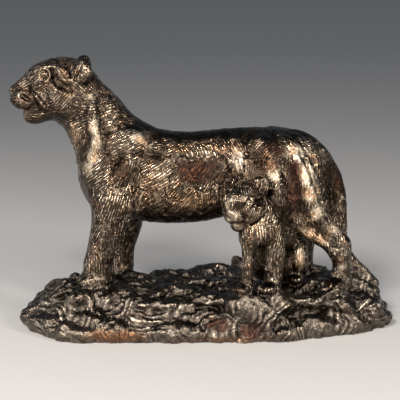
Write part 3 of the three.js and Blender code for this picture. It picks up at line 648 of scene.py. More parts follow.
    def far_hind_leg(self) -> list[Clay]:
        """Model the far hind leg, set forward under her.

        Returns:
            The leg's clay.
        """
        return [
            roll([(84, 32, 150, 28), (90, 36, 125, 20), (104, 38, 104, 14), (112, 38, 92, 11.5)], 10),
            *self.thigh(Side.FAR, self.far_thigh_forward, 2),
            roll([(112, 38, 92, 11), (110, 38, 72, 10), (108, 38, 54, 11.5)], 5),
            *self.paw.clay((100, 38, 51), -4, 0.95),
        ]

    def tail(self) -> list[Clay]:
        """Model the tail, which hangs behind the thighs and runs out over the rocks.

        Returns:
            The tail's clay.
        """
        return [
            roll([(96, 8, 197, 13), (112, 8, 190.5, 11), (123.5, 8, 180, 9.5), (133, 9, 167, 8.8),
                  (139, 9, 153.5, 8.5), (142.5, 9, 138, 8.5), (145, 9, 114, 7.5), (147, 10, 92, 7),
                  (152, 11, 76, 6.5), (161, 12, 63, 6.5), (172, 12, 52, 7), (183, 12, 41, 6)], 5),
        ]


@dataclass(frozen=True)
class Cub:
    """The cub, seated against her hind leg with its chest towards the near side."""

    head: CatHead = CatHead(eye=1.1, eye_at=(-21.0, 19.6, 14.0), fall_away=0.26, muzzle=0.74, pad=0.86,
                            ears=(1.05, 0.75), crown=1.1, cup=5.5)
    paw: Paw = Paw()

    def clay(self) -> list[Clay]:
        """Model back, chest, legs, rump and the turned head.

        Returns:
            The cub's clay.
        """
        return [
            roll([(47, -47, 138, 17), (57, -44, 130, 18), (66, -37, 119, 18.5), (77, -24, 106, 18),
                  (88, -12, 95, 14)], 7),
            lump((54, -52, 116), (15, 13, 19), 6),
            lump((42, -50, 110), (9, 12, 14), 6),
            roll([(44, -56, 110, 9), (43, -59, 90, 6.5), (42.5, -60, 72, 6), (41, -61, 56, 6.5)], 4),
            roll([(67, -49, 116, 14), (71, -51, 94, 11), (70.5, -52, 72, 9.5), (69, -53, 56, 9.5)], 5),
            *self.paw.clay((39, -65, 56.5), 50, 0.6),
            *self.paw.clay((66, -60, 56), 50, 0.7),
            lump((52, -60.5, 111), (9, 6, 12), 4, tip=8),
            roll([(64, -54, 136, 4), (70, -55, 120, 5), (78, -50, 104, 4.5)], 3),
            lump((64, -24, 84), (17, 18, 32), 7),
            lump((84, -8, 72), (13, 15, 24), 8),
            lump((98.5, -11, 76), (11, 14, 18.5), 4),
            lump((96, -4, 90), (12, 13, 12), 7),
            roll([(88.5, -19, 66, 1), (89, -21, 80, 1.6), (96, -21, 92, 1.8), (105, -18, 90, 1.4)], 1.5),
            roll([(92, -26.5, 86, 1.2), (94.5, -27.4, 94, 2), (101, -19.4, 98.5, 2),
                  (107.5, -12, 92, 1.4)], 1.2),
            *self.paw.clay((97, -17, 54), 60, 0.6),
            *placed(self.head.clay() + both_sides(self.face), CUB_HEAD_AT, scale=CUB_HEAD_SCALE,
                    **CUB_HEAD_SET),
            roll([(65, -50, 154, 1.6), (63.5, -56, 146, 2.2), (59.5, -60, 137, 2.5), (52, -63, 129.5, 2.6),
                  (42, -65, 123, 2.4), (37, -64, 117, 1.8)], 2, carve=True),
        ]

    @staticmethod
    def face(s: Side) -> list[Clay]:
        """Model slanting eye and lower lid, the nose's ridge and the rim of the ear.

        Args:
            s: which side of the head.

        Returns:
            Clay about the middle of the skull.
        """
        return [
            roll([(-31, s * 18, 8.5, 2), (-24.5, s * 21.6, 14.8, 3),
                  (-15, s * 22.4, 20.5, 2.2)], 0.8, carve=True),
            roll([(-28, s * 19.6, 5.5, 1.6), (-19.5, s * 22.8, 10.5, 2.2), (-10.5, s * 23.2, 16, 1.6)], 1),
            roll([(-33, s * 8, 26, 1.8), (-38.6, s * 7, 16, 2.2), (-42, s * 3.4, 8, 2)], 1.5),
            roll([(6, s * 18.5, 21, 1.6), (9, s * 20, 29, 2.1), (17, s * 23.4, 34, 2.3),
                  (22.5, s * 28, 29, 2.1), (23, s * 30, 18, 1.6)], 1),
            lump((15, s * 26, 24), (5, 5, 6.5), 1.5, carve=True),
            roll([(12, s * 21.5, 18, 1.2), (15.5, s * 23.4, 27, 1.4)], 0.8),
        ]


# The base


class SmoothNoise:
    """Smooth repeating noise between -1 and 1, from a seeded lattice."""

    def __init__(self, seed: int, size: int = 32) -> None:
        """Draw the lattice."""
        self.size = size
        self.values = np.random.default_rng(seed).uniform(-1, 1, size**3).astype(np.float32)

    def at(self, x: Array, y: Array, z: Array) -> Array:
        """Read the noise at places, with features about one unit wide.

        Args:
            x: the places' first numbers.
            y: their second numbers.
            z: their third numbers.

        Returns:
            Values between -1 and 1.
        """
        whole, part = [], []
        for v in (x, y, z):
            low = np.floor(v)
            f = (v - low).astype(np.float32)
            whole.append(low.astype(np.int64))
            part.append(f * f * (3 - 2 * f))
        n = self.size
        total = np.zeros(len(x), np.float32)
        for corner in range(8):
            index = np.zeros(len(x), np.int64)
            weight = np.ones(len(x), np.float32)
            for axis in range(3):
                step = (corner >> axis) & 1
                index = index * n + (whole[axis] + step) % n
                weight *= part[axis] if step else 1 - part[axis]
            total += self.values[index] * weight
        return total


@dataclass(frozen=True)
class RockyBase:
    """The oval base, modelled as rough ground with rocks and crevices."""

    ground: float = 49.0
    rim: float = 13.0
    slope: float = 0.8
    undercut: float = 0.45
    relief_level: float = 3.3
    boulder_depth: float = 5.2
    knob_depth: float = 2.8
    chasing_level: float = 0.5
    swirl_height: float = 1.1
    crumple_height: float = 0.8
    outline: tuple[tuple[float, float], ...] = (
        (-203, 0), (-196, -28), (-172, -58), (-138, -77), (-80, -81), (-20, -79), (40, -79),
        (90, -73), (135, -58), (172, -42), (198, -18), (204, 6), (196, 34), (165, 60),
        (115, 77), (50, 84), (-20, 83), (-85, 80), (-140, 70), (-182, 44), (-200, 20),
    )

    def rocks(self) -> list[Clay]:
        """Lay on the rocks and ledges that stand out of the ground.

        Returns:
            The rocks' clay.
        """
        return [
            lump((-148, -6, 41), (15, 20, 11), 6),
            lump((-128, -40, 38), (22, 14, 12), 7),
            lump((36, 68, 44), (9, 9, 12), 6),
            lump((26, 48, 38), (38, 18, 13), 9),
            roll([(148, 12, 57, 9), (164, 12, 48, 10), (180, 12, 37, 8)], 6),
            roll([(146, -4, 50, 9), (162, -4, 42, 10), (178, -4, 32, 9)], 8),
            lump((126, 40, 41), (24, 18, 11), 7),
            lump((168, -20, 26), (20, 18, 13), 7),
            lump((-15, 54, 34), (55, 18, 11), 10),
            lump((112, -44, 38), (26, 14, 9), 7),
            lump((10, -50, 40), (24, 14, 8), 7),
            lump((40, -57, 38), (24, 20, 15), 8, tip=10),
            lump((66, -52, 39), (26, 21, 14), 8, tip=10),
            lump((50, -58, 26), (34, 17, 15), 9),
            lump((137, -29, 34), (24, 18, 13), 7, lean=8),
            lump((-60, -52, 36), (28, 12, 9), 7, lean=8),
        ]

    def inset(self, x: Array, y: Array) -> Array:
        """Measure how far inside the outline places lie, seen from above.

        Args:
            x: the places along the base.
            y: the places across it.

        Returns:
            Distances, negative outside.
        """
        line = smooth_path(np.array(self.outline, float), 3, closed=True)
        nearest = np.full(len(x), np.inf, np.float32)
        inside = np.zeros(len(x), bool)
        for a, b in zip(line[:-1], line[1:]):
            ux, uy = b - a
            t = np.clip(((x - a[0]) * ux + (y - a[1]) * uy) / (ux * ux + uy * uy), 0, 1)
            np.minimum(nearest, np.hypot(x - a[0] - t * ux, y - a[1] - t * uy), out=nearest)
            if uy:
                inside ^= ((a[1] > y) != (b[1] > y)) & (x < a[0] + (y - a[1]) * ux / uy)
        return np.where(inside, nearest, -nearest)

    def distance(self, p: Array) -> Array:
        """Measure how far places are from the plain body of the base.

        Args:
            p: places, one row each.

        Returns:
            Distances, negative inside.
        """
        inset = self.inset(p[:, 0], p[:, 1])
        z = p[:, 2]
        top = smooth_union(self.rim + self.slope * inset, np.full(len(z), self.ground, np.float32), 16)
        side = -inset + self.undercut * np.maximum(0, self.rim - z)
        above = (z - top) / math.hypot(1, self.slope)
        return -smooth_union(-side, -above, 8)

    def relief(self, p: Array) -> Array:
        """Work out the lumps and crevices of the rock, as in the solid.

        Args:
            p: places, one row each.

        Returns:
            How far the skin moves in at each place.
        """
        x, y, z = p.T
        u = x + 8 * np.sin(0.05 * y + 0.09 * z + 1) + 4 * np.sin(0.13 * y - 0.07 * x)
        v = y + 1.1 * z + 8 * np.sin(0.045 * x - 0.06 * z) + 3 * np.sin(0.12 * x + 0.1 * y)

        def folded(wave: Array) -> Array:
            """The wave folded up, with a soft crease."""
            return np.sqrt(wave * wave + 0.015)

        boulders = folded(np.sin(0.055 * u + 0.04 * v) * np.cos(0.066 * v - 0.03 * u))
        knobs = folded(np.sin(0.13 * u - 0.08 * v + 0.8) * np.cos(0.105 * v + 0.09 * u))
        return self.relief_level - self.boulder_depth * boulders - self.knob_depth * knobs

    def chasing(self, p: Array) -> Array:
        """Work out finer swirls, crevices and tool marks, which the solid leaves out.

        Args:
            p: places, one row each.

        Returns:
            How far the skin moves in at each place.
        """
        x, y, z = p.T
        bend, swirl = SmoothNoise(seed=11), SmoothNoise(seed=12)
        down = 0.75 * y + 1.25 * z
        wx = x + 26 * bend.at(x / 36, down / 36, z / 60) + 5 * bend.at(x / 12, down / 12, z / 12)
        wd = down + 24 * bend.at(x / 32 + 7, down / 32, z / 60 + 3)
        wd += 5 * bend.at(x / 13 + 4, down / 13, z / 13)
        broad = swirl.at(wx / 15, wd / 10, y / 60)
        middle = swirl.at(wx / 9 + 5, wd / 5.2, y / 40 + 5)
        marks = swirl.at(wx / 8 + 9, wd / 2.6, z / 30 + 9)
        crumple = swirl.at(x / 4.2, y / 4.2 + 3, z / 4.2)
        crumpled = spread(bend.at(x / 20 + 3, y / 20, z / 20 + 8), 0.12, 0.37)
        crevice = np.clip(1 - np.abs(broad) / 0.25, 0, 1) ** 1.5
        groove = np.clip(1 - np.abs(middle) / 0.3, 0, 1)
        return (self.chasing_level + self.swirl_height * broad + 0.35 * crevice + 0.3 * middle
                + 0.2 * groove + 0.15 * marks + self.crumple_height * crumple * crumpled)


# From clay to skin


@dataclass
class Mesh:
    """Points and the four-sided or three-sided faces between them."""

    points: Array
    faces: Array

    def normals(self) -> Array:
        """Average the directions of the faces round each point.

        Returns:
            The outward direction at each point.
        """
        p, f = self.points, self.faces
        if f.shape[1] == 4:
            flat = np.cross(p[f[:, 2]] - p[f[:, 0]], p[f[:, 3]] - p[f[:, 1]])
        else:
            flat = np.cross(p[f[:, 1]] - p[f[:, 0]], p[f[:, 2]] - p[f[:, 0]])
        total = np.zeros_like(p)
        for axis in range(3):
            for corner in range(f.shape[1]):
                total[:, axis] += np.bincount(f[:, corner], flat[:, axis], len(p))
        return total / np.maximum(np.linalg.norm(total, axis=1, keepdims=True), 1e-12)

    def hollows(self, normals: Array, edges: Array, rounds: int) -> Array:
        """How far each point lies below its smoothed surroundings, and above them as a minus."""
        return np.sum((self.smoothed(self.points, rounds, edges) - self.points) * normals, axis=1)

    def to_blender(self, name: str) -> bpy.types.Mesh:
        """Make a Blender mesh of the same points and faces.

        Args:
            name: the mesh's name.

        Returns:
            The Blender mesh.
        """
        count, corners = self.faces.shape
        made = bpy.data.meshes.new(name)
        made.vertices.add(len(self.points))
        made.vertices.foreach_set("co", self.points.astype(np.float32).ravel())
        made.loops.add(self.faces.size)
        made.loops.foreach_set("vertex_index", self.faces.astype(np.int32).ravel())
        made.polygons.add(count)
        made.polygons.foreach_set("loop_start", (np.arange(count) * corners).astype(np.int32))
        made.update(calc_edges=True)
        return made

    def edges(self) -> Array:
        """List every edge once.

        Returns:
            Two point numbers for each edge.
        """
        f = self.faces
        pairs = np.vstack([f[:, [i, (i + 1) % f.shape[1]]] for i in range(f.shape[1])])
        return np.unique(np.sort(pairs, axis=1), axis=0)

    def smoothed(self, values: Array, rounds: int, edges: Array) -> Array:
        """Average values with their neighbours a number of times.

        Args:
            values: one value or row for each point.
            rounds: how many times.
            edges: two point numbers for each edge.

        Returns:
            The averaged values.
        """
        n = len(self.points)
        a, b = edges.T
        count = np.bincount(a, minlength=n) + np.bincount(b, minlength=n)
        v = values.astype(float)
        for _ in range(rounds):
            columns = []
            for column in v.reshape(n, -1).T:
                near = np.bincount(a, column[b], n) + np.bincount(b, column[a], n)
                columns.append(0.5 * column + 0.5 * near / np.maximum(count, 1))
            v = np.stack(columns, axis=1).reshape(values.shape)
        return v


class ClayGrid:
    """Clay sampled on a grid, close to its skin only."""

    def __init__(self, cell: float, low: Point = (-214, -92, -7), high: Point = (214, 96, 302)) -> None:
        """Lay out the grid.

        Args:
            cell: the distance between samples.
            low: the lowest corner.
            high: the highest corner.
        """
        self.cell = cell
        self.low = np.array(low, float)
        self.counts = np.ceil((np.array(high) - self.low) / cell).astype(int) + 1
        self.values = np.full(self.counts, 2 * REACH, np.float32)
        self.active = np.ones(self.counts, bool)

    def points(self, index: tuple[Array, Array, Array]) -> Array:
        """Where the samples with these numbers lie."""
        return np.stack([self.low[n] + self.cell * index[n] for n in range(3)], axis=1).astype(np.float32)

    def fill(self, base: RockyBase, figures: Sequence[Clay]) -> None:
        """Sample the base, its rocks and their relief, then the figures.

        Args:
            base: the rocky base.
            figures: the animals' clay.
        """
        top = int((base.ground + 3 * REACH - self.low[2]) / self.cell)
        index = np.nonzero(self.active[:, :, :top])
        self.values[index] = base.distance(self.points(index))
        self.lay(base.rocks())
        index = np.nonzero(self.active[:, :, :top])
        p = self.points(index)
        self.values[index] += base.relief(p) + base.chasing(p)
        self.values[index] = np.maximum(self.values[index], -p[:, 2])
        self.lay(figures)

    def lay(self, clay: Sequence[Clay]) -> None:
        """Lay on or press in each piece of clay in turn.

        Args:
            clay: the pieces, in order.
        """
        for piece in clay:
            low, high = piece.box()
            first = np.clip(np.floor((low - self.low) / self.cell).astype(int), 0, self.counts)
            last = np.clip(np.ceil((high - self.low) / self.cell).astype(int) + 1, 0, self.counts)
            part = tuple(slice(a, b) for a, b in zip(first, last))
            index = tuple(i + a for i, a in zip(np.nonzero(self.active[part]), first))
            join = smooth_cut if piece.carve else smooth_union
            self.values[index] = join(self.values[index], piece.distance(self.points(index)), piece.blend)

    def sampled(self, values: Array, points: Array) -> Array:
        """Read values of the grid at any place, blended between samples.

        Args:
            values: one value for each sample.
            points: where to read them.

        Returns:
            The value at each place.
        """
        at = (points - self.low) / self.cell
        low = np.clip(np.floor(at).astype(int), 0, self.counts - 2)
        part = np.clip(at - low, 0, 1)
        total = np.zeros(len(points))
        for corner in np.ndindex(2, 2, 2):
            weight = np.prod(np.where(corner, part, 1 - part), axis=1)
            total += weight * values[tuple((low + corner).T)]
        return total

    def enclosure(self, points: Array, reach: int) -> Array:
        """Measure the share of the space round each place that clay fills.

        Args:
            points: the places.
            reach: how far round them, in cells.

        Returns:
            Shares from 0 to 1.
        """
        filled = (self.values < 0).astype(float)
        for axis in range(3):
            for _ in range(2):
                pad = [(reach + 1, reach) if n == axis else (0, 0) for n in range(3)]
                total = np.cumsum(np.pad(filled, pad, mode="edge"), axis=axis)
                width = 2 * reach + 1
                ahead = np.take(total, range(width, total.shape[axis]), axis=axis)
                behind = np.take(total, range(total.shape[axis] - width), axis=axis)
                filled = (ahead - behind) / width
        return self.sampled(filled, points)

    def near_skin(self, cell: float, within: float = 7.0) -> "ClayGrid":
        """Make a finer grid that is only active near the skin of this one.

        Args:
            cell: the distance between its samples.
            within: how far from the skin it is active.

        Returns:
            The finer grid.
        """
        fine = ClayGrid(cell)
        v = self.values
        corners = [v[i:v.shape[0] - 1 + i, j:v.shape[1] - 1 + j, k:v.shape[2] - 1 + k]
                   for i in (0, 1) for j in (0, 1) for k in (0, 1)]
        close = (np.minimum.reduce(corners) < within) & (np.maximum.reduce(corners) > -within)
        at = [np.minimum((np.arange(n) * cell / self.cell).astype(int), close.shape[axis] - 1)
              for axis, n in enumerate(fine.counts)]
        fine.active = close[np.ix_(*at)]
        inside = np.maximum.reduce(corners) < 0
        fine.values[inside[np.ix_(*at)]] = -2 * REACH
        return fine

    def skin(self) -> Mesh:
        """Draw the skin: one point in each cell that it passes through.

        Returns:
            The points, joined into four-sided faces.
        """
        v = self.values
        inside = v < 0
        nx, ny, nz = (n - 1 for n in self.counts)
        held = np.zeros((nx, ny, nz), np.uint8)
        for i, j, k in np.ndindex(2, 2, 2):
            held += inside[i:nx + i, j:ny + j, k:nz + k]
        cells = np.nonzero((held > 0) & (held < 8))
        number = np.full((nx, ny, nz), -1, np.int32)
        number[cells] = np.arange(len(cells[0]))
        total = np.zeros((len(cells[0]), 3))
        count = np.zeros(len(cells[0]))
        for axis in range(3):
            for a, b in np.ndindex(2, 2):
                start = np.insert([a, b], axis, 0)
                end = start + np.eye(3, dtype=int)[axis]
                va = v[tuple(c + s for c, s in zip(cells, start))]
                vb = v[tuple(c + s for c, s in zip(cells, end))]
                cut = (va < 0) != (vb < 0)
                t = np.where(cut, va / np.where(cut, va - vb, 1), 0)
                for n in range(3):
                    total[:, n] += np.where(cut, start[n] + (t if n == axis else 0), 0)
                count += cut
        points = self.low + self.cell * (np.stack(cells, axis=1) + total / count[:, None])
        faces = []
        for axis in range(3):
            u, w = (axis + 1) % 3, (axis + 2) % 3
            step = np.eye(3, dtype=int)[axis]
            a = inside[tuple(slice(0, n - s) for n, s in zip(inside.shape, step))]
            b = inside[tuple(slice(s, None) for s in step)]
            cut = np.array(np.nonzero(a != b))
            within = (cut[u] > 0) & (cut[w] > 0) & (cut[u] < number.shape[u]) & (cut[w] < number.shape[w])
            cut = cut[:, within]
            ring = []
            for du, dw in ((0, 0), (1, 0), (1, 1), (0, 1)):
                cell = cut.copy()
                cell[u] -= du
                cell[w] -= dw
                ring.append(number[tuple(cell)])
            quad = np.stack(ring, axis=1)
            outward = a[tuple(cut)]
            quad[~outward] = quad[~outward][:, ::-1]
            faces.append(quad)
        return Mesh(points, np.vstack(faces))


# Fur


@dataclass(frozen=True)
class FurCoat:
    """Strokes of fur, laid in patches that each run their own way.

    The guides give the stroke's slope in the side view, in degrees up from -X to +X, at places
    on the animals. Between them the slope is blended.
    """

    patch: float = 27.0
    sway: float = 18.0
    finer: float = 1.8
    bow: float = 0.016
    body_bow: float = 0.3
    rock_bow: float = 1.9
    inner_fade: float = 1.6
    ragged_by: float = 4.5
    ragged_size: float = 6.0
    tuft_width: float = 3.9
    tuft_height: float = 0.42
    hair_width: float = 2.1
    hair_height: float = 0.2
    ridge_pitch: float = 7.0
    ridge_height: float = 0.85
    fold_height: float = 0.4
    head_reach: float = 52.0
    cub_head_reach: float = 30.0
    cub_at: tuple[float, float, float] = (66, -38, 98)
    cub_radii: tuple[float, float, float] = (38, 36, 48)
    legs_between: tuple[float, float] = (60, 114)
    tries: int = 14000
    batch: int = 20000
    guides: tuple[tuple[float, float, float], ...] = (
        (-205, 240, 20), (-180, 262, 30), (-160, 284, 20), (-148, 272, 112), (-134, 272, 68),
        (-155, 250, 38), (-140, 238, 20), (-128, 246, -18), (-175, 225, 15), (-124, 278, 75),
        (-118, 258, -40), (-122, 235, 66), (-112, 205, 78), (-98, 228, 30), (-84, 212, 25),
        (-70, 205, 40),
        (-95, 180, 55), (-62, 190, 48), (-58, 150, 42), (-45, 130, 46), (-40, 175, 44),
        (-10, 145, 128), (-5, 175, 60), (-15, 195, 130), (20, 195, 120), (25, 150, 100),
        (35, 180, 75), (50, 200, 40), (70, 180, 65), (75, 150, 80), (95, 170, 105),
        (100, 205, -20), (110, 150, 110), (120, 120, 125), (140, 90, 80), (140, 140, 95),
        (-110, 130, 80), (-112, 95, 85), (-115, 65, 80), (-85, 110, 100), (-90, 70, 90),
        (110, 80, 90), (150, 75, 110),
    )

    def fineness(self, points: Array) -> Array:
        """Say how many times smaller the patches are on the heads, legs and cub.

        Args:
            points: where the skin's points are.

        Returns:
            1 on her body, and more where they are smaller.
        """
        on_head = away_from(points, HEAD_AT, ahead=14) < self.head_reach
        on_cub_head = away_from(points, CUB_HEAD_AT) < self.cub_head_reach
        on_cub = np.linalg.norm((points - self.cub_at) / self.cub_radii, axis=1) < 1
        low, high = self.legs_between
        on_legs = (points[:, 2] > low) & (points[:, 2] < high)
        return np.where(on_head | on_cub_head | on_cub | on_legs, self.finer, 1.0)

    def seeds(self, points: Array) -> Array:
        """Pick the middle of each patch at random, no two too close together.

        Args:
            points: where the skin's points are.

        Returns:
            Numbers of the points picked.
        """
        order = np.random.default_rng(5).permutation(len(points))[:self.tries]
        room = (self.patch / self.fineness(points)) ** 2
        chosen: list[int] = []
        kept = np.empty((0, 3))
        for n in order:
            if len(kept) == 0 or np.min(np.sum((kept - points[n]) ** 2, axis=1)) > room[n]:
                chosen.append(int(n))
                kept = np.vstack([kept, points[n]])
        return np.array(chosen)

    def slopes(self, at: Array) -> Array:
        """Blend the guides' slopes.

        Args:
            at: the places, one row each.

        Returns:
            The stroke direction asked for at each place, in the side view.
        """
        g = np.array(self.guides)
        away = (at[:, 0:1] - g[:, 0]) ** 2 + (at[:, 2:3] - g[:, 1]) ** 2
        weight = 1 / (away + 60) ** 2
        double = np.radians(2 * g[:, 2])
        angle = 0.5 * np.arctan2(weight @ np.sin(double), weight @ np.cos(double))
        return np.stack([np.cos(angle), 0.25 * np.sign(at[:, 1] - SPINE_Y), np.sin(angle)], axis=1)

    def strokes(self, points: Array, seeds: Array, seed_normals: Array, rough: Array) -> tuple[Array, Array]:
        """Lay out the strokes.

        Args:
            points: where the skin's points are.
            seeds: the middle of each patch.
            seed_normals: the outward direction there.
            rough: which patches lie on rock, where the strokes run every way and bend.

        Returns:
            Along the stroke, across it and the patch's number for each point, and a share that
            fades to nothing where two patches meet.
        """
        rng = np.random.default_rng(6)
        t = self.slopes(seeds)
        t -= seed_normals * np.sum(t * seed_normals, axis=1, keepdims=True)
        t /= np.maximum(np.linalg.norm(t, axis=1, keepdims=True), 1e-6)
        b = np.cross(seed_normals, t)
        reach = np.where(rough, 90.0, self.sway)
        angle = np.radians(rng.uniform(-reach, reach))[:, None]
        t, b = t * np.cos(angle) + b * np.sin(angle), b * np.cos(angle) - t * np.sin(angle)
        ragged = SmoothNoise(seed=8)
        size = self.ragged_size
        stray = np.stack([ragged.at(*(points / size + n * 9).T) for n in range(3)], axis=1)
        q = points + self.ragged_by * stray
        nearest = np.empty(len(points), int)
        inner = np.empty(len(points))
        spacing = self.patch / self.fineness(points)
        for start in range(0, len(points), self.batch):
            part = slice(start, start + self.batch)
            away = np.sum(seeds**2, axis=1)[None, :] - 2 * q[part] @ seeds.T
            two = np.argpartition(away, 1, axis=1)[:, :2]
            gap = np.take_along_axis(away, two, axis=1)
            nearest[part] = np.where(gap[:, 0] <= gap[:, 1], two[:, 0], two[:, 1])
            inner[part] = np.abs(gap[:, 0] - gap[:, 1]) / (2 * spacing[part])
        off = points - seeds[nearest]
        along = np.sum(off * t[nearest], axis=1)
        over = np.sum(off * b[nearest], axis=1)
        bend = rng.uniform(-1, 1, len(seeds)) * np.where(rough, self.rock_bow, self.body_bow) * self.bow
        over += bend[nearest] * along**2
        return np.stack([along, over, nearest.astype(float)], axis=1), spread(inner, 0, self.inner_fade)

    def relief(self, strokes: Array) -> Array:
        """Work out the height of the modelled tufts.

        Args:
            strokes: along, across and patch number of the stroke at each point.

        Returns:
            Heights in millimetres.
        """
        along, over, patch = strokes.T
        comb = SmoothNoise(seed=9)
        broad = comb.at(along / 12 + patch * 3.7, over / self.tuft_width, patch * 1.3)
        thin = comb.at(along / 9 + patch * 5.1, over / self.hair_width + 11, patch * 2.9)
        return self.tuft_height * broad + self.hair_height * thin

    def swirl(self, strokes: Array) -> Array:
        """Draw the bent ridges of the rock.

        Args:
            strokes: along, across and patch number of the stroke at each point.

        Returns:
            From -1 in the creases to 1 on the crests.
        """
        along, over, patch = strokes.T
        comb = SmoothNoise(seed=10)
        drift = comb.at(along / 13 + patch * 3.7, over / 10, patch * 1.3)
        size = comb.at(along / 16 + patch * 2.3, over / 14 + 5, patch * 4.1)
        return np.sin(2 * np.pi * over / self.ridge_pitch + 4.5 * drift) * np.clip(0.75 + 0.6 * size, 0.2, 1)

    def rock_relief(self, strokes: Array) -> Array:
        """Work out the height of the bent ridges and folds of the rock.

        Args:
            strokes: along, across and patch number of the stroke at each point.

        Returns:
            Heights in millimetres.
        """
        along, over, patch = strokes.T
        folds = SmoothNoise(seed=10).at(along / 10 + patch * 5.1, over / 3.4 + 11, patch * 2.9)
        return self.ridge_height * self.swirl(strokes) + self.fold_height * folds


# Finishes


@dataclass(frozen=True)
class StainOrLight:
    """A patch of the patina with a colour of its own, or a patch of painted light or shade."""

    at: Point
    radii: Point
    strength: float = 1.0


def stained_or_lit(points: Array, stains: Sequence[StainOrLight]) -> Array:
    """Find how strongly each point is stained or painted lighter or darker.

    Args:
        points: where the skin's points are.
        stains: the stains to look at.

    Returns:
        0 for none, up to the strongest stain's own strength.
    """
    total = np.zeros(len(points))
    for stain in stains:
        away = np.sqrt(np.sum(((points - np.array(stain.at)) / np.array(stain.radii)) ** 2, axis=1))
        total = np.maximum(total, stain.strength * np.clip(1.5 - away, 0, 1))
    return total


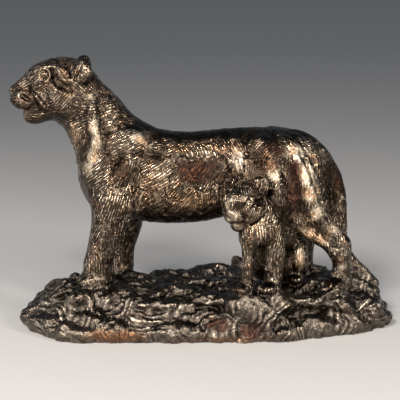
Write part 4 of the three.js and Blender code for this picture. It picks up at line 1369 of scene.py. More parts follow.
@dataclass(frozen=True)
class Patina:
    """Dark lustrous bronze, its patina gone to pale gold on the high places, with painted highlights and
    painted shade.
    """

    slot: str = "patinated_bronze"
    hatch_pitch: float = 2.7
    deep: Color = (0.006, 0.005, 0.004)
    body: Color = (0.084, 0.055, 0.036)
    rubbed_and_lit: Color = (0.84, 0.70, 0.52)
    tan: Color = (0.70, 0.45, 0.27)
    rock: Color = (0.105, 0.084, 0.066)
    rubbed_and_lit_rock: Color = (0.66, 0.56, 0.44)
    red: Color = (0.062, 0.017, 0.008)
    orange: Color = (0.42, 0.17, 0.07)
    bare: Color = (0.20, 0.088, 0.035)
    # Red-brown patches
    red_stains: tuple[StainOrLight, ...] = (
        StainOrLight((-10, -30, 172), (22, 16, 14)), StainOrLight((68, -30, 190), (12, 18, 18)),
        StainOrLight((92, -38, 160), (7, 16, 38)), StainOrLight((144, 5, 160), (9, 14, 20)),
        StainOrLight((-88, -30, 175), (14, 16, 20), 0.45), StainOrLight((12, -78, 20), (15, 20, 8)),
        StainOrLight((46, -80, 14), (14, 20, 8)), StainOrLight((20, -30, 190), (18, 14, 7), 0.6),
        StainOrLight((-60, 48, 170), (20, 14, 16), 0.7), StainOrLight((40, 40, 160), (16, 14, 20), 0.7),
        StainOrLight((90, 50, 140), (14, 14, 20), 0.7), StainOrLight((-100, 75, 20), (26, 16, 10), 0.8),
        StainOrLight((120, 70, 18), (20, 16, 9), 0.8),
    )
    # Places rubbed bright, and painted highlights where the lamps catch the forms
    worn_and_highlight_places: tuple[StainOrLight, ...] = (
        # Down the ridge of her neck, and her throat
        StainOrLight((-116, -18, 216), (9, 20, 12), 0.9), StainOrLight((-114, -19, 203), (8, 20, 12), 0.95),
        StainOrLight((-118, -18, 187), (8, 20, 12), 0.95), StainOrLight((-123, -14, 173), (7, 20, 10), 1.0),
        StainOrLight((-137, -8, 208), (10, 20, 16), 0.7), StainOrLight((-146, -2, 220), (7, 20, 8), 0.5),
        StainOrLight((-98, -14, 228), (12, 20, 12), 0.4), StainOrLight((-100, -24, 201), (5, 20, 10), 0.5),
        # Withers, back and flank
        StainOrLight((-89, -20, 210), (8, 20, 6), 0.3), StainOrLight((-72, -12, 206), (13, 20, 8), 0.85),
        StainOrLight((-62, -16, 197), (9, 20, 7), 0.6), StainOrLight((5, -20, 199), (36, 20, 8), 0.45),
        StainOrLight((33, -25, 184), (8, 20, 18), 0.8), StainOrLight((57, -55, 165), (12, 14, 8), 0.7),
        StainOrLight((-60, -24, 152), (26, 24, 24), 0.5), StainOrLight((-14, -24, 139), (30, 24, 12), 0.6),
        # Near shoulder and foreleg
        StainOrLight((-102, -38, 169), (4, 20, 9), 0.8), StainOrLight((-113, -34, 106), (6, 20, 22), 0.4),
        StainOrLight((-99, -34, 87), (6, 20, 14), 0.35),
        # Haunch, tail and near hind leg
        StainOrLight((70, -33, 177), (9, 20, 18), 1.1), StainOrLight((91, -25, 189), (11, 20, 13), 1.2),
        StainOrLight((101, -28, 170), (11, 20, 14), 1.2), StainOrLight((108, -28, 150), (11, 20, 13), 1.2),
        StainOrLight((115, -26, 131), (10, 20, 12), 1.1), StainOrLight((105, -14, 193), (6, 20, 9), 0.6),
        StainOrLight((115, -16, 179), (5, 20, 8), 0.6), StainOrLight((104, -28, 108), (13, 20, 8), 0.9),
        StainOrLight((122, -26, 100), (14, 20, 8), 0.9), StainOrLight((134, -24, 111), (13, 20, 8), 0.9),
        StainOrLight((143, -28, 75), (5, 20, 16), 0.6),
        # The cub, and the tip of her own nose
        StainOrLight((26, -70, 132), (8, 20, 8), 0.8), StainOrLight((40, -62, 161), (13, 14, 8), 0.5),
        StainOrLight((44, -48, 166), (15, 12, 7), 0.7), StainOrLight((57, -43, 166), (9, 14, 4), 0.8),
        StainOrLight((53, -60, 138), (7, 20, 8), 0.5), StainOrLight((51, -66, 118), (8, 20, 9), 0.3),
        StainOrLight((100, -12, 75), (8, 20, 14)), StainOrLight((-195, -10, 250.5), (2.4, 7, 2.4)),
        # The base
        StainOrLight((-150, -50, 28), (28, 30, 18), 0.3), StainOrLight((142, -40, 28), (34, 30, 16), 0.3),
        StainOrLight((-145, -62, 14), (10, 20, 9), 0.9), StainOrLight((-73, -80, 22), (8, 20, 8), 0.9),
        StainOrLight((-35, -66, 36), (12, 20, 8), 0.6), StainOrLight((96, -78, 25), (13, 20, 7), 0.5),
        StainOrLight((-155, -30, 34), (10, 20, 8), 0.4), StainOrLight((60, 78, 24), (30, 20, 9), 0.4),
        # Her far side
        StainOrLight((-30, 46, 165), (40, 20, 22), 0.5), StainOrLight((88, 44, 180), (20, 20, 26), 0.6),
        StainOrLight((-90, 44, 180), (16, 20, 30), 0.5), StainOrLight((-118, 34, 215), (8, 20, 20), 0.6),
        StainOrLight((110, 44, 110), (14, 20, 14), 0.4),
    )
    # Places where the rubbed metal is tan and painted lighter: tan metal, and painted light on the lit forms
    tan_and_lit_places: tuple[StainOrLight, ...] = (
        StainOrLight((-58, -30, 152), (26, 24, 24)), StainOrLight((-12, -30, 139), (30, 24, 12), 1.5),
        StainOrLight((6, -20, 200), (52, 20, 9), 1.0),
        StainOrLight((9, -38, 150), (14, 20, 12)), StainOrLight((-137, -10, 207), (10, 20, 14)),
        StainOrLight((52, -66, 119), (9, 20, 9)), StainOrLight((98, -20, 73), (9, 20, 12)),
        StainOrLight((60, -30, 185), (14, 20, 14), 0.8), StainOrLight((-88, -30, 190), (14, 20, 12), 0.3),
        StainOrLight((108, -26, 104), (20, 20, 14), 0.7), StainOrLight((-95, -20, 228), (12, 20, 16), 0.6),
        StainOrLight((-40, 46, 150), (32, 20, 24), 0.8), StainOrLight((95, 46, 150), (20, 20, 26), 0.8),
    )
    # Places where the dark patina is whole, and painted shade in grooves and hollows
    whole_patina_and_shade_places: tuple[StainOrLight, ...] = (
        StainOrLight((-84, -30, 172), (14, 16, 18), 0.6), StainOrLight((88, -38, 158), (5, 16, 34), 0.8),
        StainOrLight((-10, -30, 174), (22, 16, 14), 0.7), StainOrLight((-50, -28, 187), (11, 16, 6), 0.4),
        StainOrLight((52, -30, 190), (9, 16, 12), 0.7), StainOrLight((132, -8, 150), (7, 16, 30), 0.8),
        StainOrLight((-103, -24, 192), (5, 16, 22), 0.7), StainOrLight((-156, -20, 267), (5, 14, 6), 0.7),
        StainOrLight((-148, -20, 260), (8, 14, 5), 0.6), StainOrLight((-160, 0, 245), (34, 30, 34), 0.12),
        StainOrLight((-188, -8, 246), (6, 12, 5), 0.5),
    )
    # Painted shade: slits and gaps painted black where shadow falls
    shaded_places: tuple[StainOrLight, ...] = (
        StainOrLight((54, -42, 80), (7, 12, 26), 0.9), StainOrLight((82, -30, 85), (5, 14, 30), 0.8),
        StainOrLight((38.5, -74.5, 147.5), (2.2, 5, 2.4)), StainOrLight((43, -70.5, 153), (2.2, 5, 2.4)),
        StainOrLight((28, -73, 128.5), (5, 5, 1.7), 0.9), StainOrLight((36, -73.5, 129.5), (4, 5, 1.7), 0.9),
        StainOrLight((-188.5, -12, 247.8), (3.4, 7, 2.3)), StainOrLight((-184.5, -12, 244.6), (3.2, 7, 2.2)),
        StainOrLight((-156, -16, 268), (4, 8, 5), 0.6), StainOrLight((-147, -17, 260), (7, 8, 4), 0.5),
        StainOrLight((36, 60, 54), (11, 14, 11), 0.8), StainOrLight((56, -49, 157), (3.2, 6, 4.2), 0.7),
    )
    # Bare metal low on the base
    bare_stains: tuple[StainOrLight, ...] = (
        StainOrLight((-94, -80, 8), (27, 16, 7), 1.3), StainOrLight((20, -80, 3), (50, 14, 5), 0.65),
        StainOrLight((30, 86, 4), (40, 14, 6), 0.7),
    )


class NodeBench:
    """A short way to add and join shader nodes."""

    def __init__(self, material: bpy.types.Material) -> None:
        """Start on an empty node tree.

        Args:
            material: the material to work on.
        """
        material.use_nodes = True
        self.tree = material.node_tree
        self.tree.nodes.clear()

    def node(self, kind: str, inputs: dict | None = None, **settings: object) -> bpy.types.Node:
        """Add a node, set it and feed its inputs.

        Args:
            kind: the node's type without its leading ShaderNode.
            inputs: socket name or number to a value or another node's socket.
            settings: properties of the node itself.

        Returns:
            The new node.
        """
        made = self.tree.nodes.new("ShaderNode" + kind)
        for name, value in settings.items():
            setattr(made, name, value)
        for name, value in (inputs or {}).items():
            if isinstance(value, Socket):
                self.tree.links.new(value, made.inputs[name])
            else:
                made.inputs[name].default_value = value
        return made

    def math(self, operation: str, *values: float | Socket, clamp: bool = False) -> Socket:
        """The result of a sum on numbers or sockets."""
        made = self.node("Math", {n: v for n, v in enumerate(values)}, operation=operation, use_clamp=clamp)
        return made.outputs[0]

    def plus(self, a: float | Socket, b: float | Socket, clamp: bool = False) -> Socket:
        """The sum of a and b."""
        return self.math("ADD", a, b, clamp=clamp)

    def less(self, a: float | Socket, b: float | Socket, clamp: bool = False) -> Socket:
        """What is left of a after b is taken off."""
        return self.math("SUBTRACT", a, b, clamp=clamp)

    def times(self, a: float | Socket, b: float | Socket, clamp: bool = False) -> Socket:
        """The product of a and b."""
        return self.math("MULTIPLY", a, b, clamp=clamp)

    def most(self, a: float | Socket, b: float | Socket) -> Socket:
        """The larger of a and b."""
        return self.math("MAXIMUM", a, b)

    def mix(self, factor: float | Socket, a: Color | Socket, b: Color | Socket) -> Socket:
        """Mix two colours.

        Args:
            factor: 0 for the first colour, 1 for the second.
            a: the first colour.
            b: the second colour.

        Returns:
            The mixed colour.
        """
        made = self.tree.nodes.new("ShaderNodeMix")
        made.data_type = "RGBA"
        for socket, value in ((made.inputs[0], factor), (made.inputs[6], a), (made.inputs[7], b)):
            if isinstance(value, Socket):
                self.tree.links.new(value, socket)
            elif isinstance(value, tuple):
                socket.default_value = (*value, 1.0)
            else:
                socket.default_value = value
        return made.outputs[2]

    def stored(self, name: str) -> Socket:
        """A number stored on the mesh."""
        return self.node("Attribute", attribute_name=name).outputs["Fac"]

    def ramp(self, value: Socket, low: float, high: float) -> Socket:
        """The value spread from 0 at low to 1 at high."""
        made = self.node("MapRange", {0: value, 1: low, 2: high}, interpolation_type="SMOOTHSTEP")
        return made.outputs[0]

    def vector(self, x: Socket, y: Socket, z: Socket) -> Socket:
        """A place from its three numbers."""
        return self.node("CombineXYZ", {0: x, 1: y, 2: z}).outputs[0]

    def noise(self, at: Socket, scale: float, detail: float, rough: float = 0.55) -> Socket:
        """Noise at a scale in waves a unit."""
        made = self.node("TexNoise", {"Vector": at, "Scale": scale, "Detail": detail, "Roughness": rough})
        return made.outputs["Fac"]


class PatinaNodes:
    """The patina as a material, which follows what is stored on the mesh."""

    def __init__(self, look: Patina) -> None:
        """Start the material with the stored values and noises that its layers share.

        Args:
            look: the patina's colours and sizes.
        """
        self.look = look
        self.material = bpy.data.materials.new(look.slot)
        b = self.bench = NodeBench(self.material)
        self.place = b.node("TexCoord").outputs["Object"]
        stroke = b.node("Attribute", attribute_name="stroke").outputs["Vector"]
        split = b.node("SeparateXYZ", {0: stroke})
        self.along, self.over, self.tuft_patch = (split.outputs[n] for n in range(3))
        self.fur = b.stored("fur")
        self.rock = b.stored("rock")
        self.small = b.stored("hollow_small")
        self.wide = b.stored("hollow_wide")
        self.wear_and_light_at = b.stored("wear_and_light")
        self.tan_and_lit_at = b.stored("tan_and_lit")
        self.bare = b.stored("bare_stain")
        self.shelter = b.stored("shelter")
        self.top_shade = b.stored("top_shade")
        self.crest = b.stored("crest")
        self.patchy = b.noise(self.place, 75.0, 4.0, 0.6)
        self.specks = b.noise(self.place, 420.0, 4.0, 0.65)
        self.crumbs = b.ramp(b.noise(self.place, 300.0, 2.0, 0.6), 0.40, 0.60)
        self.chips = b.ramp(b.noise(self.place, 170.0, 3.0, 0.65), 0.36, 0.64)
        self.strokes = self.stroke_height()
        self.red_spots = self.red_patches()

    def with_strokes(self, along: float, over: float, patch: float) -> Socket:
        """A place that runs with the strokes, at a scale along, over and between patches."""
        b = self.bench
        return b.vector(b.times(self.along, along), b.times(self.over, over), b.times(self.tuft_patch, patch))

    def stroke_height(self) -> Socket:
        """Draw the single fur strokes.

        Returns:
            0 between the strokes and 1 along their tops, and 0 where there is no fur.
        """
        b = self.bench
        sway = b.noise(self.with_strokes(0.10, 0.16, 7.31), 1.0, 1.0)
        turns = b.times(self.over, 2 * math.pi / self.look.hatch_pitch)
        wave = b.math("SINE", b.plus(turns, b.times(sway, 4.0)))
        ends = b.ramp(b.noise(self.with_strokes(0.16, 0.37, 3.77), 1.0, 0.0), 0.38, 0.56)
        # Painted light: the bright strokes are wider in the tan and lit places.
        wave = b.plus(wave, b.times(self.tan_and_lit_at, 0.55))
        ridge = b.times(b.ramp(wave, 0.0, 0.8), ends)
        hair = b.ramp(b.noise(self.with_strokes(0.22, 0.95, 5.13), 1.0, 1.0), 0.38, 0.62)
        ridge = b.plus(b.times(ridge, 0.88), b.times(hair, 0.20), clamp=True)
        inner = b.ramp(b.stored("inner"), 0.3, 0.95)
        ridge = b.plus(b.times(b.less(ridge, 0.45), inner), 0.45)
        return b.times(ridge, self.fur)

    def red_patches(self) -> Socket:
        """Draw the red-brown patches, with ragged edges.

        Returns:
            0 outside the patches and 1 inside.
        """
        b = self.bench
        ragged = b.noise(self.place, 110.0, 5.0, 0.7)
        return b.ramp(b.plus(b.stored("red_stain"), b.times(b.less(ragged, 0.5), 2.0)), 0.25, 0.85)

    def wear(self) -> Socket:
        """Find how far the patina has come off, or is painted lighter or darker.

        Returns:
            0 where it is whole or painted in shade, and 1 where it is gone or painted as a highlight.
        """
        b = self.bench
        broad = b.noise(self.place, 26.0, 3.0)
        high = b.plus(b.ramp(self.small, 0.02, -0.22), b.ramp(self.wide, 0.1, -1.1), clamp=True)
        spotty = b.times(b.ramp(self.patchy, 0.36, 0.62), b.ramp(broad, 0.30, 0.58))
        wear_and_light = b.plus(b.times(spotty, 0.50), b.times(high, 0.24))
        wear_and_light = b.plus(wear_and_light, 0.13)
        wear_and_light = b.less(wear_and_light, b.times(self.red_spots, 0.5))
        # Painted highlights: the listed bright and tan places are painted lighter, and the listed dark places
        # darker.
        wear_and_light = b.plus(wear_and_light, b.times(self.wear_and_light_at, 0.85))
        wear_and_light = b.plus(wear_and_light, b.times(self.tan_and_lit_at, 0.65))
        # Painted shade: sheltered places and upper faces are rubbed less, so they stay dark.
        sheltered = b.most(self.shelter, b.times(self.top_shade, 0.75))
        return b.times(wear_and_light, b.less(1.0, b.times(sheltered, 0.85)), clamp=True)

    def rubbed_and_lit(self) -> Socket:
        """Find where bright metal shows: on strokes bared by wear, on the crests of the rock, and in painted
        highlights.

        Returns:
            0 for none and 1 for bright metal.
        """
        b = self.bench
        lines = b.plus(b.times(self.strokes, 0.75), b.times(b.less(1.0, self.fur), 0.3))
        # Painted highlight: the brightest listed places are painted as near-solid pale metal.
        lines = b.plus(lines, b.times(b.ramp(self.wear_and_light_at, 0.5, 1.0), 0.55))
        on_crests = b.plus(0.06, b.times(b.ramp(self.crest, 0.35, 0.9), 0.8))
        lines = b.plus(b.times(lines, b.less(1.0, self.rock)), b.times(on_crests, self.rock))
        shown = b.times(self.wear(), b.plus(lines, 0.12))
        return b.times(shown, b.plus(0.55, b.times(self.crumbs, 0.75)), clamp=True)

    def metal_color(self) -> Socket:
        """Mix the dark ground with the pale and tan metal that shows through it, painted highlights included.

        Returns:
            The colour before red and bare patches and dark hollows.
        """
        b, look = self.bench, self.look
        dark_rock = b.mix(b.plus(0.4, b.times(self.chips, 0.6)), look.deep, look.rock)
        ground = b.mix(self.rock, look.body, dark_rock)
        tan_spots = b.ramp(b.noise(self.place, 60.0, 4.0, 0.6), 0.48, 0.64)
        tanned = b.plus(tan_spots, b.times(self.tan_and_lit_at, 0.7), clamp=True)
        pale = b.mix(tanned, look.rubbed_and_lit, look.tan)
        return b.mix(self.rubbed_and_lit(), ground, b.mix(self.rock, pale, look.rubbed_and_lit_rock))

    def redness(self) -> Socket:
        """Find how red-brown each place is, in the patches and in loose flecks.

        Returns:
            0 for none and 1 for all.
        """
        b = self.bench
        in_patches = b.times(self.red_spots, b.ramp(self.specks, 0.26, 0.50), clamp=True)
        flecks = b.times(b.ramp(b.noise(self.place, 48.0, 5.0, 0.65), 0.60, 0.68), 0.5)
        return b.most(in_patches, flecks)

    def stained_color(self, color: Socket, red: Socket) -> Socket:
        """Lay the red-brown and bare patches over the metal.

        Args:
            color: the metal's colour.
            red: how red-brown each place is.

        Returns:
            The colour with its patches.
        """
        b, look = self.bench, self.look
        glow = b.times(self.strokes, b.times(self.crumbs, 0.40))
        red_tone = b.mix(glow, b.mix(b.ramp(self.specks, 0.38, 0.62), look.deep, look.red), look.orange)
        color = b.mix(b.times(red, 0.85), color, red_tone)
        return b.mix(b.times(self.bare, b.ramp(self.specks, 0.35, 0.6), clamp=True), color, look.bare)

    def darkness(self) -> Socket:
        """Find how dark each place is painted: dark patina, and painted shade.

        Returns:
            0 on open metal, up to 1 in hollows and between strokes where the patina is dark, and in the
            painted shade of sheltered, upper and shaded places.
        """
        b = self.bench
        # Broad hollows darkened: dark patina, and painted shade.
        deep_wide = b.times(b.ramp(self.wide, 0.3, 1.9), b.less(1.0, b.times(self.rock, 0.6)))
        hollow = b.plus(b.ramp(self.small, 0.03, 0.30), deep_wide, clamp=True)
        hollow = b.times(hollow, b.plus(0.15, b.times(self.fur, 0.65)))
        between = b.times(b.less(self.fur, self.strokes), 0.80)
        between = b.times(between, b.less(1.0, b.times(self.rock, 0.5)))
        polished_and_lit = b.times(b.ramp(self.wear_and_light_at, 0.35, 0.95), 0.72)
        between = b.times(between, b.less(1.0, polished_and_lit))
        # Painted shade in sheltered places and on undersides.
        sheltered = b.times(self.shelter, b.plus(0.40, b.times(self.fur, 0.40)))
        # Painted shade on the upper faces.
        above = b.times(self.top_shade, b.plus(0.45, b.times(self.fur, 0.50)))
        dark = b.most(hollow, b.most(sheltered, above))
        dark = b.most(dark, between)
        # Painted shade in the listed slits and gaps.
        dark = b.most(dark, b.times(b.stored("shade"), 0.92))
        return b.most(dark, b.times(b.ramp(self.crest, -0.15, -0.85), 0.75))

    def roughness(self, red: Socket) -> Socket:
        """Make the patina duller in patches.

        Args:
            red: how red-brown each place is.

        Returns:
            The roughness.
        """
        b = self.bench
        rough = b.plus(0.17, b.times(b.ramp(self.patchy, 0.35, 0.7), 0.18))
        rough = b.plus(rough, b.times(red, 0.12))
        rough = b.plus(rough, b.times(b.ramp(self.wear_and_light_at, 0.4, 1.0), 0.16))
        return b.plus(rough, b.times(self.rock, 0.02))

    def bump(self) -> Socket:
        """Add the relief that is too fine for the mesh, from strokes down to the casting's pits.

        Returns:
            The bumped normal.
        """
        b = self.bench
        layers = (
            (self.strokes, 0.0008, 1.0),
            (b.times(self.chips, b.plus(0.2, self.rock)), 0.0009, 0.6),
            (self.crumbs, 0.0003, 0.6),
            (b.noise(self.place, 900.0, 3.0), 0.0003, 0.3),
            (b.noise(self.place, 2300.0, 2.0), 0.0001, 0.3),
        )
        below: dict[str, Socket] = {}
        for height, distance, strength in layers:
            made = b.node("Bump", {"Height": height, "Distance": distance, "Strength": strength, **below})
            below = {"Normal": made.outputs[0]}
        return below["Normal"]

    def build(self) -> bpy.types.Material:
        """Join the layers.

        Returns:
            The finished material.
        """
        b = self.bench
        red = self.redness()
        color = self.stained_color(self.metal_color(), red)
        color = b.mix(self.darkness(), color, self.look.deep)
        metal = b.less(1.0, b.times(b.most(red, self.bare), 0.08), clamp=True)
        shader = b.node("BsdfPrincipled", {
            "Base Color": color, "Metallic": metal, "Roughness": self.roughness(red),
            "Normal": self.bump()})
        b.node("OutputMaterial", {"Surface": shader.outputs[0]})
        return self.material


# The studio


@dataclass(frozen=True)
class Lamp:
    """A soft box: its place and size in metres, its power in watts and its colour."""

    name: str
    at: Point
    size: tuple[float, float]
    power: float
    color: Color


@dataclass(frozen=True)
class Studio:
    """Pale floor, soft lights and the camera."""

    target: tuple[float, float, float] = (-4.1, -2.7, 136.0)
    distance: float = 1300.0
    elevation: float = 12.0
    lens: float = 109.35
    floor_reach: float = 14.0
    floor_color: Color = (0.485, 0.475, 0.462)
    floor_roughness: float = 0.6
    sky_color: Color = (0.60, 0.64, 0.70)
    sky_strength: float = 0.29
    lit_at: tuple[float, float, float] = (0.0, 0.0, 0.13)
    lamps: tuple[Lamp, ...] = (
        Lamp("key", (-0.45, -1.15, 1.15), (0.36, 0.32), 29.0, (1.0, 0.95, 0.90)),
        Lamp("front", (0.15, -2.3, 0.50), (0.8, 0.35), 31.0, (1.0, 0.95, 0.90)),
        Lamp("fill", (1.05, -1.0, 0.75), (0.26, 0.55), 17.0, (1.0, 0.96, 0.93)),
        Lamp("left", (-1.35, -1.25, 0.55), (0.25, 0.65), 17.0, (1.0, 0.96, 0.94)),
        Lamp("edge", (-1.3, 0.3, 0.6), (0.3, 0.6), 2.0, (0.95, 0.97, 1.0)),
    )

    def build(self) -> None:
        """Set up the stage."""
        self.floor()
        self.sky()
        for lamp in self.lamps:
            self.hang(lamp)
        self.camera()
        LOG.info("studio: floor, %d lamps and camera", len(self.lamps))

    def floor(self) -> None:
        """A wide pale floor."""
        r = self.floor_reach
        corners = [(-r, -r, 0), (r, -r, 0), (r, r, 0), (-r, r, 0)]
        mesh = bpy.data.meshes.new("studio_floor")
        mesh.from_pydata(corners, [], [(0, 1, 2, 3)])
        floor = bpy.data.objects.new("studio_floor", mesh)
        bpy.context.collection.objects.link(floor)
        material = bpy.data.materials.new("studio_floor")
        bench = NodeBench(material)
        shader = bench.node("BsdfPrincipled", {
            "Base Color": (*self.floor_color, 1), "Roughness": self.floor_roughness})
        bench.node("OutputMaterial", {"Surface": shader.outputs[0]})
        mesh.materials.append(material)

    def sky(self) -> None:
        """A dim sky all round, and plain tones for the picture."""
        world = bpy.data.worlds.new("studio")
        world.use_nodes = True
        background = world.node_tree.nodes["Background"]
        background.inputs[0].default_value = (*self.sky_color, 1)
        background.inputs[1].default_value = self.sky_strength
        bpy.context.scene.world = world
        bpy.context.scene.view_settings.view_transform = "Standard"

    def hang(self, lamp: Lamp) -> None:
        """Hang a soft box so that it faces the casting.

        Args:
            lamp: the soft box.
        """
        light = bpy.data.lights.new(lamp.name, "AREA")
        light.shape = "RECTANGLE"
        light.size, light.size_y = lamp.size
        light.energy = lamp.power
        light.color = lamp.color
        holder = bpy.data.objects.new(lamp.name, light)
        holder.location = lamp.at
        facing = Vector(self.lit_at) - Vector(lamp.at)
        holder.rotation_euler = facing.to_track_quat("-Z", "Y").to_euler()
        bpy.context.collection.objects.link(holder)

    def camera(self) -> None:
        """The camera at the photograph's angle."""
        data = bpy.data.cameras.new("camera")
        data.lens = self.lens
        data.clip_start = 0.05
        camera = bpy.data.objects.new("camera", data)
        tilt = math.radians(self.elevation)
        target = Vector(self.target) * MM
        camera.location = target + Vector((0, -math.cos(tilt), math.sin(tilt))) * self.distance * MM
        camera.rotation_euler = (math.pi / 2 - tilt, 0, 0)
        bpy.context.collection.objects.link(camera)
        bpy.context.scene.camera = camera


# The casting


@dataclass
class Casting:
    """The whole casting: shape, chasing and patina."""

    # The two grids' cells, and how many triangles are kept
    cell: float = 1.2
    coarse: float = 4.8
    faces: int = 196000
    # How little the heads are thinned, and how far round them
    heads_kept_finer: float = 0.02
    head_kept: float = 56.0
    cub_head_kept: float = 32.0
    # Over what heights above the rock, and how far round eyes and lips, the fur comes in
    fur_above_rock: tuple[float, float] = (1.5, 5.5)
    bare_fade: float = 5.0
    # How far off the skin shelter is measured, and where the cub's haunch has its painted shade lifted
    open_air: float = 7.0
    haunch_at: tuple[float, float, float] = (99, -20, 76)
    haunch_shape: tuple[float, float, float] = (1, 1, 1.5)
    lioness: Lioness = field(default_factory=Lioness)
    cub: Cub = field(default_factory=Cub)
    base: RockyBase = field(default_factory=RockyBase)
    fur: FurCoat = field(default_factory=FurCoat)
    patina: Patina = field(default_factory=Patina)

    def build(self) -> bpy.types.Object:
        """Model, thin, dress and place the casting.

        Returns:
            The dressed piece, which stands for the solid.
        """
        skin, coarse = self.modelled(self.lioness.clay() + self.cub.clay())
        LOG.info("clay skin: %d points", len(skin.points))
        furry = self.fur_mask(skin.points)
        normals = skin.normals()
        seeds = self.fur.seeds(skin.points)
        patches = (skin.points[seeds], normals[seeds], furry[seeds] < 0.5)
        strokes, inner = self.fur.strokes(skin.points, *patches)
        tufts = self.fur.relief(strokes) * furry * self.fur_depth(skin.points)
        tufts += self.fur.rock_relief(strokes) * (1 - furry)
        skin.points += normals * (tufts * inner)[:, None]
        skin.points[:, 2] = np.maximum(skin.points[:, 2], 0)
        thin = self.thinned(skin)
        LOG.info("thinned skin: %d triangles", len(thin.faces))
        piece = self.to_object(thin)
        self.mark(piece, thin, coarse, *self.fur.strokes(thin.points, *patches))
        piece.data.materials.append(PatinaNodes(self.patina).build())
        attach(piece, "root")
        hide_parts("lioness_and_cub")
        LOG.info("%s: %d triangles", piece.name, len(piece.data.polygons))
        return piece

    def modelled(self, figures: Sequence[Clay]) -> tuple[Mesh, ClayGrid]:
        """Model the clay, first coarsely and then finely near its skin.

        Args:
            figures: the lioness's and the cub's clay.

        Returns:
            The skin at full detail, and the coarse grid.
        """
        coarse = ClayGrid(self.coarse)
        coarse.fill(self.base, figures)
        fine = coarse.near_skin(self.cell)
        fine.fill(self.base, figures)
        return fine.skin(), coarse

    def fur_mask(self, points: Array) -> Array:
        """Tell the animals from the rock.

        Args:
            points: where the skin's points are.

        Returns:
            1 on the animals and 0 on the rock.
        """
        places = points.astype(np.float32)
        rock = self.base.distance(places)
        for piece in self.base.rocks():
            rock = smooth_union(rock, piece.distance(places), piece.blend)
        return spread(rock, *self.fur_above_rock)

    def face_distance(self, points: Array) -> Array:
        """Measure how far each point is from the bare parts of both faces.

        Args:
            points: where the skin's points are.

        Returns:
            The distance from the nearest eye, nose, whisker pad or lip.
        """
        nearest = np.full(len(points), np.inf)
        for head, at, scale, angles in (
            (self.lioness.head, HEAD_AT, 1.0, {"turn": HEAD_TURN}),
            (self.cub.head, CUB_HEAD_AT, CUB_HEAD_SCALE, CUB_HEAD_SET),
        ):
            own = (points - np.array(at)) @ turned(**angles) / scale
            for *place, radius in head.bare_places():
                away = np.linalg.norm(own - np.array(place), axis=1) - radius
                nearest = np.minimum(nearest, np.maximum(away, 0) * scale)
        return nearest

    def fur_depth(self, points: Array) -> Array:
        """Work out how deep the tufts are: shallow on faces and feet, full on the body.

        Args:
            points: where the skin's points are.

        Returns:
            A share of the full depth.
        """
        head = away_from(points, HEAD_AT, ahead=18)
        cub_head = away_from(points, CUB_HEAD_AT)
        calm = spread(head, 30, 60, least=0.6) * spread(cub_head, 20, 40, least=0.5)
        feet = spread(points[:, 2], 62, 92, least=0.4)
        return calm * feet * spread(self.face_distance(points), 0, self.bare_fade)

    def thinned(self, skin: Mesh) -> Mesh:
        """Give the skin fewer faces where it runs smooth, and keep the heads finer.

        Args:
            skin: the skin at full detail, with four-sided faces.

        Returns:
            The same skin in fewer triangles.
        """
        mesh = skin.to_blender("full_skin")
        holder = bpy.data.objects.new("full_skin", mesh)
        bpy.context.collection.objects.link(holder)
        on_head = away_from(skin.points, HEAD_AT, ahead=10) < self.head_kept
        on_cub_head = away_from(skin.points, CUB_HEAD_AT) < self.cub_head_kept
        group = holder.vertex_groups.new(name="plain")
        group.add(np.nonzero(~(on_head | on_cub_head))[0].tolist(), 1.0, "REPLACE")
        thin = holder.modifiers.new("thin", "DECIMATE")
        thin.ratio = min(1.0, self.faces / (2 * len(skin.faces)))
        thin.vertex_group = group.name
        thin.vertex_group_factor = self.heads_kept_finer
        thin.use_collapse_triangulate = True
        done = holder.evaluated_get(bpy.context.evaluated_depsgraph_get())
        result = done.to_mesh()
        result.calc_loop_triangles()
        points = np.empty(len(result.vertices) * 3, np.float32)
        result.vertices.foreach_get("co", points)
        corners = np.empty(len(result.loop_triangles) * 3, np.int32)
        result.loop_triangles.foreach_get("vertices", corners)
        done.to_mesh_clear()
        bpy.data.objects.remove(holder)
        bpy.data.meshes.remove(mesh)
        return Mesh(points.reshape(-1, 3).astype(float), corners.reshape(-1, 3))

    def to_object(self, skin: Mesh) -> bpy.types.Object:
        """Make the finished skin an object in metres, inside the solid's box.

        Args:
            skin: the thinned skin, in millimetres about the clay's own middle.

        Returns:
            The object, smoothly shaded.
        """
        low, high = (np.array(corner) / MM for corner in CAD_BOX)
        points = np.clip(skin.points - np.array([*BOX_MIDDLE, 0]), low, high) * MM
        mesh = Mesh(points, skin.faces).to_blender("lioness_and_cub_cast")
        mesh.shade_smooth()
        piece = bpy.data.objects.new("lioness_and_cub_cast", mesh)
        bpy.context.collection.objects.link(piece)
        return piece

    def sheltered(self, points: Array, normals: Array, furry: Array, coarse: ClayGrid) -> Array:
        """Find the places that wear and light don't reach, which are painted in shade.

        Args:
            points: where the skin's points are.
            normals: the outward direction at each point.
            furry: 1 on the animals and 0 on the rock.
            coarse: the clay around the points.

        Returns:
            0 in the open and 1 in deep shelter or facing down, less on the cub's head and haunch, where the
            painted shade is lifted so they read as lit.
        """
        shelter = spread(coarse.enclosure(points + normals * self.open_air, 3), 0.22, 0.60)
        # Painted shade under her belly and every overhang.
        under = np.clip(-normals[:, 2] * 1.3, 0, 1)
        shelter = np.maximum(shelter, under * (0.25 + 0.75 * furry))
        haunch = np.linalg.norm((points - self.haunch_at) / self.haunch_shape, axis=1)
        # Less painted shade on the cub's head and haunch, which stand in the light.
        shelter *= 1 - 0.8 * spread(away_from(points, CUB_HEAD_AT), 36, 28)
        shelter *= 1 - 0.6 * spread(haunch, 18, 12)
        return shelter

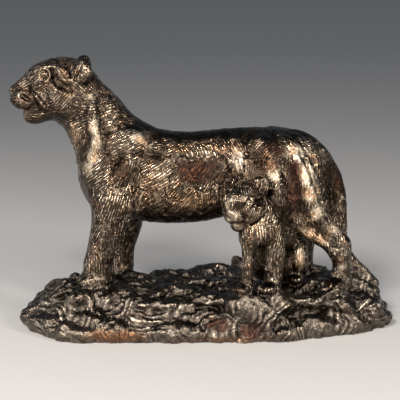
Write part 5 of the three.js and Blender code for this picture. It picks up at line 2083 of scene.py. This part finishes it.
    def top_shade(self, points: Array, normals: Array, furry: Array) -> Array:
        """Find the upper faces, which the photograph shows dark.

        Args:
            points: where the skin's points are.
            normals: the outward direction at each point.
            furry: 1 on the animals and 0 on the rock.

        Returns:
            1 on top of the rock and along her back, less on both heads, and 0 elsewhere.
        """
        # Painted shade: upper faces are painted darker, for the dim reflection of the sky that they show.
        on_rock = spread(normals[:, 2], 0.55, 0.85)
        on_back = spread(normals[:, 2], 0.66, 0.79)
        on_head = 0.65 * spread(away_from(points, HEAD_AT, ahead=10), 50, 40)
        on_cub_head = 0.95 * spread(away_from(points, CUB_HEAD_AT), 36, 28)
        on_back *= 1 - np.maximum(on_head, on_cub_head)
        return on_rock * (1 - furry) + on_back * furry

    def mark(self, piece: bpy.types.Object, skin: Mesh, coarse: ClayGrid, strokes: Array,
             inner: Array) -> None:
        """Store on the mesh what the patina follows: fur, hollows, crests and stains, with the painted
        highlights and painted shade.

        Args:
            piece: the object to mark.
            skin: its points and faces in millimetres.
            coarse: the clay around it.
            strokes: along, across and patch number of the stroke at each point.
            inner: a share that fades to nothing where two patches meet.
        """
        points, normals, edges, look = skin.points, skin.normals(), skin.edges(), self.patina
        furry = self.fur_mask(points)
        calm = 0.10 + 0.90 * spread(self.face_distance(points), 0, self.bare_fade)
        bare = stained_or_lit(points, look.bare_stains)
        crest = self.fur.swirl(strokes) * inner * (1 - furry) * (1 - 0.8 * np.clip(bare, 0, 1))
        layers = {
            "hollow_small": skin.hollows(normals, edges, rounds=3),
            "hollow_wide": skin.hollows(normals, edges, rounds=24),
            "fur": furry * calm + 0.15 * (1 - furry),
            "red_stain": stained_or_lit(points, look.red_stains),
            "bare_stain": bare,
            "shelter": self.sheltered(points, normals, furry, coarse),
            # Wear and painted highlights, less the painted shade of the dark places.
            "wear_and_light": stained_or_lit(points, look.worn_and_highlight_places) - stained_or_lit(points, look.whole_patina_and_shade_places),
            "top_shade": self.top_shade(points, normals, furry),
            "inner": inner,
            "rock": 1 - furry,
            "crest": crest,
            "tan_and_lit": stained_or_lit(points, look.tan_and_lit_places),
            "shade": stained_or_lit(points, look.shaded_places),
        }
        for name, values in layers.items():
            layer = piece.data.attributes.new(name, "FLOAT", "POINT")
            layer.data.foreach_set("value", values.astype(np.float32))
        layer = piece.data.attributes.new("stroke", "FLOAT_VECTOR", "POINT")
        layer.data.foreach_set("vector", strokes.astype(np.float32).ravel())
        LOG.info("patina: %d layers stored", len(layers) + 1)


def main() -> None:
    logging.basicConfig(level=logging.INFO, format="%(name)s: %(message)s")
    Studio().build()
    casting = Casting()
    casting.build()


if __name__ == "__main__":
    main()
